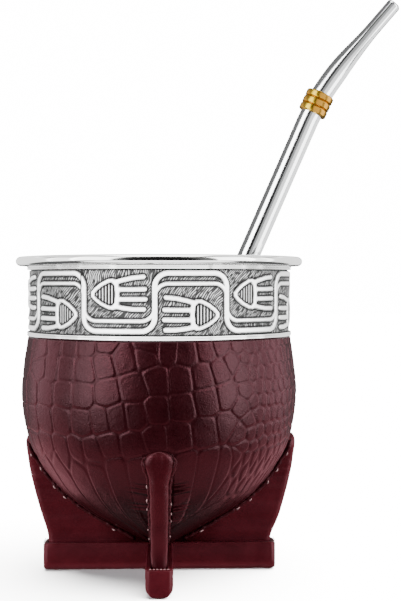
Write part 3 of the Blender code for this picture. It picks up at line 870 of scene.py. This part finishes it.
def build_mouldings(material):
    """The double beads over and under the band."""
    inner = NECK_RADIUS + 0.3
    top, low = RIM_UNDER - 0.05, BAND_TOP + 0.05
    bead = (top - low) / 4
    half = BEAD_SHARE * bead
    profile = [(inner, low), (MOULDING_RADIUS - 0.5, low)]
    for centre in (low + bead, top - bead):
        profile += [(MOULDING_RADIUS - 1.0, centre - half)]
        profile += arc((MOULDING_RADIUS - half, centre), (half, half), -90, 90, 9)
        profile += [(MOULDING_RADIUS - 1.0, centre + half)]
    profile += [(MOULDING_RADIUS - 0.5, top), (inner, top), (inner, low)]
    beads = turned_piece("top_beads_polished", profile[::-1], steps=256)
    dress(beads, material, "polished_silver", "band_top_bead")
    top, low, lip = BAND_BOTTOM - 0.02, BASE_RING_LOW, BAND_BOTTOM + 0.3
    profile = [(inner, low), (MOULDING_RADIUS - 0.5, low)]
    for centre, half in ((low + 0.38, 0.38), (top - 0.27, 0.27)):
        profile += arc((MOULDING_RADIUS - half * 0.8, centre), (half * 0.8, half), -90, 90, 9)
    profile += [(FIELD_RADIUS - 0.1, top), (FIELD_RADIUS - 0.3, lip), (inner, lip), (inner, low)]
    base_ring = turned_piece("base_ring_polished", profile[::-1], steps=256)
    dress(base_ring, material, "polished_silver", "band_base_ring")


def key_line_distance(along, height, low, high):
    """Distance to a square wave with round corners that turns once in each bay."""
    bay = np.floor((along - FIRST_TURN) / BAY).astype(int)
    inside = along - FIRST_TURN - (bay + 0.5) * BAY
    x = np.abs(inside)
    runs_high = np.mod(bay, 2) == 0
    y = np.where(runs_high, high - height, height - low)
    tall = high - low
    half = BAY / 2
    far = np.full(along.shape, 99.0)
    straight = np.where(x <= half - CORNER, np.abs(y), far)
    corner = np.abs(np.hypot(x - (half - CORNER), y - CORNER) - CORNER)
    corner = np.where((x >= half - CORNER) & (y <= CORNER), corner, far)
    upright = np.where((y >= CORNER) & (y <= tall - CORNER), np.abs(x - half), far)
    leaving = np.abs(np.hypot(x - (half + CORNER), y - (tall - CORNER)) - CORNER)
    leaving = np.where(y >= tall - CORNER, leaving, far)
    return np.minimum.reduce([straight, corner, upright, leaving])


FINGERS = [
    [(-0.7, 3.5), (1.4, 4.1), (4.6, 4.8), (7.6, 5.1)],
    [(0.0, 1.45), (4.0, 1.45), (8.0, 1.55)],
    [(0.0, -1.4), (4.0, -1.4), (8.1, -1.35)],
    [(-0.7, -3.4), (1.4, -3.9), (4.6, -4.3), (7.7, -4.3)],
]
PALM = [(-0.5, 3.4), (-0.05, 1.6), (-0.05, -1.6), (-0.5, -3.4)]
HEAD = [
    (-0.7, 3.4), (-1.4, 4.0), (-2.7, 3.95), (-5.0, 2.85), (-6.9, 1.45), (-7.8, 0.45), (-7.8, -0.45),
    (-6.9, -1.45), (-5.0, -2.8), (-2.7, -3.8), (-1.4, -3.95), (-0.7, -3.4),
]
HEAD_FIELD = HEAD + [(0.3, -2.0), (0.3, 2.0)]
FINGER_HALF = 0.70
OUTLINE_HALF = 0.58
FILLET = 5.0
JOINT_TURN = math.radians(-33.0)
STROKE_LEAN = math.radians(52)
STROKE_PITCH = 0.56
STROKE_DEPTH = 0.14
HATCH_PITCH = 0.97
HATCH_DEPTH = 0.30
LINE_RISE = 0.42
LINE_CROWN = 0.13
BAND_JOINT_DEPTH = 0.12
BAND_JOINT_WIDTH = 0.24
BAND_GRID = (100, 1600)
HAND_HEIGHTS = (88.93, 82.98)


def segment_distance(x, y, points):
    best = np.full(x.shape, 99.0)
    for (ax, ay), (bx, by) in zip(points, points[1:]):
        dx, dy = bx - ax, by - ay
        t = np.clip(((x - ax) * dx + (y - ay) * dy) / (dx * dx + dy * dy), 0, 1)
        best = np.minimum(best, np.hypot(x - ax - t * dx, y - ay - t * dy))
    return best


def inside_outline(x, y, points):
    inside = np.zeros(x.shape, bool)
    for (ax, ay), (bx, by) in zip(points, points[1:] + points[:1]):
        crosses = (ay > y) != (by > y)
        level = by - ay if by != ay else 1e-9
        inside ^= crosses & (x < (bx - ax) * (y - ay) / level + ax)
    return inside


def hand_places(along, height):
    """Each place in the nearest hand's own flat frame, with the hand pointing to -x."""
    bay = np.floor((along - FIRST_TURN) / BAY).astype(int)
    x = along - FIRST_TURN - (bay + 0.5) * BAY
    opens_up = np.mod(bay, 2) == 1
    x = np.where(opens_up, x, -x)
    y = height - np.where(opens_up, HAND_HEIGHTS[0], HAND_HEIGHTS[1])
    return x, y


def engraving(along, height):
    """Slanting burin strokes over the ground, short and slightly bent: 0 in a cut, 1 on a ridge."""
    cells = 24
    unit = cells / (TURN * FIELD_RADIUS)
    warp = 1.9 * value_noise(along * unit, height / 9, 31, wrap=cells)
    warp = warp + 0.35 * value_noise(along * unit * 5, height / 2.2, 32, wrap=cells * 5)
    across = along * math.sin(STROKE_LEAN) - height * math.cos(STROKE_LEAN) + warp
    down = along * math.cos(STROKE_LEAN) + height * math.sin(STROKE_LEAN)
    strokes = (0.5 + 0.5 * np.cos(across * TURN / STROKE_PITCH)) ** 1.3
    length = value_noise(down / 1.1 + 3.7 * np.floor(across / STROKE_PITCH + 0.5), across / STROKE_PITCH, 33)
    return np.clip(strokes * (0.78 + 0.62 * length), 0, 1)


def hand_distance(x, y):
    """Distance to the hand's raised lines, filleted where they meet."""
    parts = [segment_distance(x, y, finger) - FINGER_HALF for finger in FINGERS]
    parts += [segment_distance(x, y, line) - OUTLINE_HALF for line in (PALM, HEAD)]
    return -np.log(sum(np.exp(-FILLET * np.minimum(part, 6.0)) for part in parts)) / FILLET


def chasing(angle, height):
    """How high the relief stands over the band's ground, and how polished each place is, from 0 to 1, with
    painted shade along the band's top and bottom edges.
    """
    along = angle * FIELD_RADIUS
    outer = key_line_distance(along, height, *OUTER_LINE) - OUTER_HALF
    inner = key_line_distance(along, height, *INNER_LINE) - INNER_HALF
    x, y = hand_places(along, height)
    hand = hand_distance(x, y)
    head = inside_outline(x, y, HEAD_FIELD) & (hand > -0.05)
    lines = np.minimum.reduce([outer, inner, hand])
    raised = 1 - smooth_step(-0.16, 0.12, lines)
    crown = np.clip(-lines / 0.5, 0, 1)
    hatch = 0.5 + 0.5 * np.sin(x * TURN / HATCH_PITCH)
    strokes = engraving(along, height)
    outline = hill(lines, 0.26, 0.18)
    joint = hill(along, JOINT_TURN * FIELD_RADIUS, BAND_JOINT_WIDTH) * (height > 90.0)
    ground = np.where(head, HATCH_DEPTH * hatch, STROKE_DEPTH * strokes) - 0.10 * outline
    line_height = LINE_RISE + LINE_CROWN * np.sqrt(crown)
    relief = ground * (1 - raised) + line_height * raised - BAND_JOINT_DEPTH * joint
    hatch_shine = 0.08 + 0.62 * smooth_step(0.5, 0.9, hatch)
    stroke_shine = 0.13 + 0.52 * smooth_step(0.12, 0.85, strokes)
    polish_and_edge_shade = np.where(head, hatch_shine, stroke_shine) * (1 - 0.9 * outline) * (1 - raised)
    polish_and_edge_shade += raised * (0.80 + 0.20 * crown)
    # Painted shade: the shine falls almost to black along the band's top and bottom edges, next to the beads
    # and the base ring; the dark joint is the band's own.
    edge = np.minimum(height - BAND_BOTTOM, BAND_TOP - height)
    polish_and_edge_shade *= (0.05 + 0.95 * smooth_step(0.12, 0.5, edge)) * (1 - 0.8 * joint)
    return relief, polish_and_edge_shade


def build_band(material):
    rows, columns = BAND_GRID
    angle = np.tile(full_turn(columns) - math.pi, (rows, 1))
    height = np.linspace(BAND_BOTTOM, BAND_TOP, rows)[:, None] + 0 * angle
    relief, polish_and_edge_shade = chasing(angle, height)
    radius = FIELD_RADIUS + relief - 0.35 * (1 - smooth_step(0.1, 0.4, BAND_TOP - height))
    radius[0] = FIELD_RADIUS - 0.2
    radius[-1] = FIELD_RADIUS - 0.5
    band = grid_piece("band_chased", ring_points(radius, height, angle - math.pi / 2), polish_and_shade=polish_and_edge_shade)
    return dress(band, material, "oxidised_silver", "band")


# Straw

def leaning_ring(centre, along, thick, wide):
    """A ring of points across an axis that leans to the right."""
    ring = centre + np.array([along[2], 0.0, -along[0]]) * thick[:, None]
    ring[:, 1] += wide
    return ring


def straw_ring(centre, along, half_thick, half_wide, flatness=0.0):
    """A ring of points across the straw, round or drawn out flat."""
    angle = full_turn(STRAW_SIDES) + math.pi / STRAW_SIDES
    thick = half_thick * signed_power(np.cos(angle), 1.0 - 0.45 * flatness)
    return leaning_ring(centre, along, thick, half_wide * np.sin(angle))


def build_straw(material):
    """A round tube that flattens into the mouthpiece, and turns in at its open tip."""
    foot, knee = np.array(STRAW_FOOT), np.array(STRAW_KNEE)
    lean = (knee - foot) / np.linalg.norm(knee - foot)
    rings = [straw_ring(foot, lean, 0.4, 0.4)]
    for share in (0, *np.linspace(0.02, 1, 24)):
        rings.append(straw_ring(foot + (knee - foot) * share, lean, TUBE_RADIUS, TUBE_RADIUS))
    knots = [RING_CENTRE, MOUTHPIECE_START, MOUTHPIECE_RISE, MOUTHPIECE_BEND, MOUTHPIECE_TIP]
    line, _ = resampled(catmull(knots, 16), 52)
    along = directions(line)
    thick, wide = TIP_THICKNESS / 2, TIP_WIDTH / 2
    shares = (np.linspace(0, 1, len(line)) - FLATTENED[0]) / (FLATTENED[1] - FLATTENED[0])
    for place, ahead, share in zip(line, along, np.clip(shares, 0, 1)):
        flat = 0.5 - 0.5 * math.cos(math.pi * share)
        half_thick = TUBE_RADIUS + (thick - TUBE_RADIUS) * flat
        half_wide = TUBE_RADIUS + (wide - TUBE_RADIUS) * flat
        rings.append(straw_ring(place, ahead, half_thick, half_wide, flat))
    tip, ahead = line[-1], along[-1]
    for lift, inset in TIP_LIP:
        rings.append(straw_ring(tip + ahead * lift, ahead, thick - inset, wide - inset, 1.0))
    rings.append(straw_ring(tip - ahead * 5.0, ahead, 0.1, 0.1, 1.0))
    straw = grid_piece("straw_polished", np.array(rings)[:, ::-1])
    dress(straw, material, "polished_steel", "straw")


def build_straw_rings(material):
    """Three brass collars with rounded edges, their narrow feet meeting in the grooves between them."""
    axis = np.array([math.sin(RING_LEAN), 0.0, math.cos(RING_LEAN)])
    half = RING_LENGTH / 2
    inner, outer = RING_BORE - 0.25, RING_BORE + 0.12
    profile = [(inner, -half - 0.12), (outer, -half - 0.12), (outer, -half)]
    profile += arc((RING_RADIUS - 0.30, 0.34 - half), (0.30, 0.34), -90, 0, 6)
    profile += arc((RING_RADIUS - 0.30, half - 0.34), (0.30, 0.34), 0, 90, 6)
    profile += [(outer, half), (outer, half + 0.12), (inner, half + 0.12), (inner, -half - 0.12)]
    angles = full_turn(72)
    for name, place in (("lower", -1), ("middle", 0), ("upper", 1)):
        rows = []
        for radius, lift in profile:
            centre = np.array(RING_CENTRE) + axis * (place * (RING_LENGTH + RING_GAP) + lift)
            rows.append(leaning_ring(centre, axis, radius * np.cos(angles), radius * np.sin(angles)))
        collar = grid_piece(f"straw_ring_{name}_brass", np.array(rows))
        dress(collar, material, "brass", f"straw_ring_{name}")


# Inside the cup

FLAKE_OUTLINE = [(-1, -0.1), (-0.35, -0.8), (0.6, -0.6), (1, 0.15), (0.25, 0.75), (-0.6, 0.6)]
FLAKE_TRIES = 5200
FLAKE_SIZES = (0.35, 1.15)
FLAKE_HALF = 0.10
STEM_TRIES = 120
STEM_LENGTHS = (2.2, 8.5)
STEM_RADII = (0.28, 0.75)
STEM_GIRTH = np.array([0.85, 1, 0.96, 1.02, 0.95, 0.8])
BUBBLES = 620
BUBBLE_TRIES = 12000


def build_gourd(material):
    """The gourd's wall: its inner face up to the rim's sleeve, and its outer face under the leather."""
    inner = bowl_line(90, inset=GOURD_INSET)[0]
    inner = inner[inner[:, 0] > 3.0]
    inner[0, 0] = SLEEVE_RADIUS + 0.3
    outer = bowl_line(60, inset=GOURD_OUTER_INSET)[0]
    outer = outer[outer[:, 0] > 2.0]
    profile = [(0.05, inner[-1, 1]), *inner[::-1], (SLEEVE_RADIUS + 0.3, GOURD_TOP), (NECK_RADIUS, GOURD_TOP)]
    gourd = turned_piece("gourd_rind", [*profile, *outer, (0.05, outer[-1, 1])], steps=128)
    return dress(gourd, material, "gourd_rind", "gourd")


def bed_height(x, y):
    mounds = 1.1 * np.sin(x / 9 + 0.6) * np.cos(y / 11)
    lumps = 0.45 * np.sin(x / 2.3 + 2.0 * np.sin(y / 3.1)) * np.cos(y / 1.9 + 0.7)
    return BED_MIDDLE + BED_SLOPE * x + mounds + lumps


def from_straw(x, y, height):
    """The distance from the straw's side, at this height."""
    share = (height - STRAW_FOOT.z) / (STRAW_KNEE.z - STRAW_FOOT.z)
    return np.hypot(x - STRAW_FOOT.x - (STRAW_KNEE.x - STRAW_FOOT.x) * share, y) - TUBE_RADIUS


def build_bed(material):
    """The heap's core: crumbled on top, with a skirt down along the gourd's wall."""
    angles = full_turn(300)
    top = ring_points(BED_REACH * np.linspace(1, 0.002, 150)[:, None], 0.0, angles)
    x, y = top[..., 0], top[..., 1]
    crumbs = value_noise(x / 0.9, y / 0.9, 41) * 0.35 + value_noise(x / 0.42 + 9, y / 0.42, 42) * 0.2
    top[..., 2] = bed_height(x, y) + crumbs
    height = np.linspace(20, 70, 12)[:, None]
    wall = bowl_line(120, inset=GOURD_INSET)[0][::-1]
    skirt = ring_points(np.interp(height, wall[:, 1], wall[:, 0]) - 0.3, height, angles)
    skirt[0, :, :2] *= 0.01
    bed = grid_piece("yerba_bed", np.vstack([skirt, top]))
    dress(bed, material, "yerba_leaf", "yerba")


def build_flakes(draw, material):
    """Thin six-sided flakes, curled and tilted, wherever the bed stands out of the infusion."""
    angle = draw.uniform(0, TURN, FLAKE_TRIES)
    reach = 35.2 * np.sqrt(draw.uniform(0, 1, FLAKE_TRIES))
    sizes = draw.uniform(*FLAKE_SIZES, FLAKE_TRIES)
    faces = tube_faces(2, len(FLAKE_OUTLINE))
    flakes = []
    for x, y, size in zip(reach * np.cos(angle), reach * np.sin(angle), sizes):
        ground = float(bed_height(x, y))
        if ground < POOL_LEVEL - 0.6 or from_straw(x, y, ground) < 1.3:
            continue
        turn = draw.uniform(0, TURN)
        along = np.array([math.cos(turn), math.sin(turn), draw.uniform(-0.45, 0.45)])
        across = np.array([-math.sin(turn), math.cos(turn), draw.uniform(-0.6, 0.6)])
        centre = np.array([x, y, ground + draw.uniform(0.15, 0.55)])
        along *= 0.7 * size * draw.uniform(0.8, 1.6)
        across *= 0.9 * size * draw.uniform(0.35, 0.7)
        shape = [centre + along * a + across * b + (0, 0, 0.25 * a * a * size) for a, b in FLAKE_OUTLINE]
        both_faces = [point + (0, 0, lift) for lift in (-FLAKE_HALF, FLAKE_HALF) for point in shape]
        flakes.append((both_faces, faces))
    dress(joined("yerba_flakes", flakes, smooth=False), material, "yerba_leaf")


def build_stems(draw, material):
    """Bits of stem, slightly bent, that lie on the bed."""
    stems = []
    for _ in range(STEM_TRIES):
        angle = draw.uniform(0, TURN)
        reach = 31.5 * math.sqrt(draw.uniform(0, 1))
        x, y = reach * math.cos(angle), reach * math.sin(angle)
        ground = float(bed_height(x, y))
        length = draw.uniform(*STEM_LENGTHS)
        if ground < POOL_LEVEL or from_straw(x, y, ground) < length * 0.6:
            continue
        turn = draw.uniform(0, math.pi)
        span = np.linspace(-0.5, 0.5, len(STEM_GIRTH)) * length
        bow = draw.uniform(-0.25, 0.25) * span**2 / length
        rise = draw.uniform(-0.08, 0.08) + BED_SLOPE * math.cos(turn)
        path = np.stack([
            x + span * math.cos(turn) - bow * math.sin(turn),
            y + span * math.sin(turn) + bow * math.cos(turn),
            ground + 0.55 + span * rise,
        ], axis=-1)
        stems.append(tube_along(path, draw.uniform(*STEM_RADII) * STEM_GIRTH, sides=8))
    dress(joined("yerba_stems", stems), material, "yerba_leaf")


def build_yerba(leaf, stem):
    build_bed(leaf)
    draw = np.random.default_rng(51)
    build_flakes(draw, leaf)
    build_stems(draw, stem)


def build_infusion(material):
    """The pool, drawn up a little at the wall and at the straw."""
    top = ring_points(POOL_REACH * np.linspace(1, 0.0, 24)[:, None], POOL_LEVEL - 0.05, full_turn(160))
    low = top.copy()
    low[..., 2] = POOL_LEVEL - POOL_DEPTH
    x, y = top[..., 0], top[..., 1]
    top[..., 2] += 0.35 * smooth_step(POOL_REACH - 1.3, POOL_REACH, np.hypot(x, y))
    top[..., 2] += 0.25 * (1 - smooth_step(0.0, 1.2, from_straw(x, y, POOL_LEVEL)))
    surface = grid_piece("infusion_surface", np.vstack([low[::-1], top]))
    dress(surface, material, "infusion", "infusion")


def build_froth(material):
    """Bubbles along the pool's shore, round the straw and at the wall."""
    draw = np.random.default_rng(61)
    bubbles = []
    for _ in range(BUBBLE_TRIES):
        angle = draw.uniform(-1.7, 1.7)
        reach = 35.3 * math.sqrt(draw.uniform(0.0, 1))
        x, y = reach * math.cos(angle), reach * math.sin(angle)
        depth = POOL_LEVEL - float(bed_height(x, y))
        to_straw = from_straw(x, y, POOL_LEVEL)
        if depth < 0.1 or to_straw < 0.4:
            continue
        if draw.uniform() > math.exp(-min(depth / 0.8, to_straw / 2.2, (35.6 - reach) / 1.6)):
            continue
        bubbles.append(dome(x, y, POOL_LEVEL - 0.05, draw.uniform(0.22, 0.55) + 0.5 * draw.uniform() ** 5))
        if len(bubbles) == BUBBLES:
            break
    dress(joined("infusion_froth", bubbles), material, "infusion")


def dome(x, y, z, radius, sides=12, levels=5):
    """A bubble's cap, closed below."""
    lift = np.linspace(0, math.pi / 2, levels + 1)[:-1, None]
    rings = ring_points(radius * np.cos(lift), 0.8 * radius * np.sin(lift), full_turn(sides)) + (x, y, z)
    vertices = np.vstack([rings.reshape(-1, 3), (x, y, z + 0.8 * radius)])
    last = (levels - 1) * sides
    fan = [[last + side, last + (side + 1) % sides, levels * sides] for side in range(sides)]
    return vertices, tube_faces(levels, sides)[:-1] + fan


# Studio

def build_floor():
    x, y = np.meshgrid((-FLOOR_REACH, FLOOR_REACH), (-FLOOR_REACH, FLOOR_REACH))
    floor = grid_piece("studio_floor", np.stack([x, y, 0 * x], axis=-1), around=False)
    floor.data.materials.append(floor_material("pale_floor"))
    floor.visible_diffuse = False
    floor.visible_glossy = False
    floor.visible_shadow = False


def add_light(name, kind, place, target, power, colour=(1, 1, 1)):
    light = bpy.data.lights.new(name, kind)
    light.energy = power
    light.color = colour
    obj = in_scene(name, light)
    obj.location = place
    obj.rotation_euler = (Vector(target) - Vector(place)).to_track_quat("-Z", "Y").to_euler()
    return obj


def soft_box(name, azimuth, elevation, width, height, luminance):
    """A rectangular panel seen from the cup at this azimuth from the camera's side and this elevation."""
    turn, rise = math.radians(azimuth), math.radians(elevation)
    way = Vector((math.sin(turn) * math.cos(rise), -math.cos(turn) * math.cos(rise), math.sin(rise)))
    power = luminance * width * height * math.pi
    obj = add_light(name, "AREA", PANEL_TARGET + way * PANEL_DISTANCE, PANEL_TARGET, power)
    obj.data.shape = "RECTANGLE"
    obj.data.size = width
    obj.data.size_y = height
    return obj


def chosen(name, pieces, state="INCLUDE"):
    """A collection that says which pieces a light reaches, or which it spares."""
    group = bpy.data.collections.new(name)
    for piece in pieces:
        group.objects.link(bpy.data.objects[piece])
    for entry in group.collection_objects:
        entry.light_linking.link_state = state
    return group


def build_lights():
    """Softboxes light the object; a wide sun and a faint fill light the floor alone, for the soft shadow."""
    groups = {"object": chosen("lit_object", ["studio_floor", *BRASS], "EXCLUDE")}
    for key, pieces in LIT_PIECES.items():
        groups[key] = chosen(f"lit_{key}", pieces)
    for key, panels in SOFT_BOXES.items():
        for number, panel in enumerate(panels):
            box = soft_box(f"{key}_panel_{number}", *panel)
            box.visible_camera = False
            box.light_linking.receiver_collection = groups[key]
            box.data.color = PANEL_COLOURS.get(key, (1, 1, 1))
    sun = add_light("floor_sun", "SUN", SUN_PLACE, (0, 0, 0), SUN_POWER, (1.0, 0.985, 0.97))
    sun.data.angle = math.radians(SUN_ANGLE)
    fill = add_light("floor_fill", "SUN", (0, 0, 1), (0, 0, 0), FILL_POWER, (0.93, 0.97, 1.0))
    fill.data.use_shadow = False
    for light in (sun, fill):
        light.light_linking.receiver_collection = chosen(f"lit_by_{light.name}", ["studio_floor"])


def build_world():
    """A dim grey room, black towards the viewer; the camera itself sees plain white behind the object."""
    world = bpy.data.worlds.new("studio_room")
    world.use_nodes = True
    tree = world.node_tree
    way = add_node(tree, "TexCoord", {}).outputs["Generated"]
    apart = add_node(tree, "SeparateXYZ", {0: way})
    flat = multiplied(tree, way, (1 / DARK_HALF_WIDTH, 0.0, 1 / DARK_HALF_HEIGHT))
    reach = add_node(tree, "VectorMath", {0: flat}, operation="LENGTH").outputs["Value"]
    behind = calculated(tree, "GREATER_THAN", apart.outputs["Y"], 0.0)
    shade = ramp(tree, calculated(tree, "MAXIMUM", reach, behind), [(0.72, DARK_SHARE), (0.98, 1.0)])
    lift = calculated(tree, "MULTIPLY_ADD", apart.outputs["Z"], 0.5, 0.5)
    room = multiplied(tree, shade, ramp(tree, lift, [(0.28, ROOM_FLOOR), (0.44, ROOM_GREY)]))
    seen = add_node(tree, "LightPath", {}).outputs["Is Camera Ray"]
    mix = add_node(tree, "Mix", {"Factor": seen}, data_type="RGBA")
    colours = [socket for socket in mix.inputs if socket.type == "RGBA"]
    tree.links.new(room, colours[0])
    colours[1].default_value = (BACKDROP_WHITE, BACKDROP_WHITE, BACKDROP_WHITE, 1)
    mixed = next(socket for socket in mix.outputs if socket.type == "RGBA")
    feed(tree, tree.nodes["Background"], {"Color": mixed, "Strength": 1.0})
    bpy.context.scene.world = world


def build_camera():
    camera = bpy.data.cameras.new("photo_camera")
    camera.sensor_width = 36.0
    camera.lens = FOCAL_PIXELS / PHOTO_HEIGHT * camera.sensor_width
    camera.clip_start = 0.01
    obj = in_scene("photo_camera", camera)
    obj.location = Vector(CAMERA_PLACE) * MM
    obj.rotation_euler = (math.radians(90 - CAMERA_TILT), 0.0, math.radians(-CAMERA_PAN))
    bpy.context.scene.camera = obj


def main():
    croc = leather_material("croc_burgundy", (0.0085, 0.0009, 0.0016), (0.0145, 0.0018, 0.0029), 0.30, 0.35)
    plain = leather_material("plain_burgundy", (0.035, 0.0032, 0.0056), (0.052, 0.0056, 0.0090), 0.36, 0.30)
    # A darker copy of the plain leather, for the front fin: painted shade.
    edge = leather_material("front_shade_burgundy", (0.019, 0.0018, 0.0032), (0.030, 0.0036, 0.0056), 0.32, 0.30)
    # Darker leather for the seam rolls: painted shade for the shadowed crease between the fins and the bowl.
    shaded_welt = leather_material("crease_shade_burgundy", (0.012, 0.0015, 0.0024), (0.024, 0.0030, 0.0045), 0.45, 0.30)
    silver = metal_material("polished_silver", (0.86, 0.86, 0.85), 0.07)
    steel = metal_material("polished_steel", (0.84, 0.85, 0.86), 0.09)
    brass = metal_material("yellow_brass", (0.85, 0.50, 0.09), 0.20)
    chased = chased_material("chased_silver")
    rind = rind_material("gourd_rind")
    leaf = leaf_material("yerba_leaf", LEAF_TINTS, 0.75, 1.4)
    stem = leaf_material("yerba_stem", STEM_TINTS, 0.65, 0.3)
    thread = thread_material("waxed_thread", (0.62, 0.36, 0.37))

    build_camera()
    build_cover(croc)
    build_fins(plain, edge)
    build_seams(shaded_welt, thread)
    build_feet(plain, thread)
    build_rim(silver)
    build_mouldings(silver)
    build_band(chased)
    build_straw(steel)
    build_straw_rings(brass)
    build_gourd(rind)
    build_yerba(leaf, stem)
    build_infusion(infusion_material("infusion_liquid"))
    build_froth(froth_material("infusion_froth"))
    build_floor()
    build_lights()
    build_world()


main()
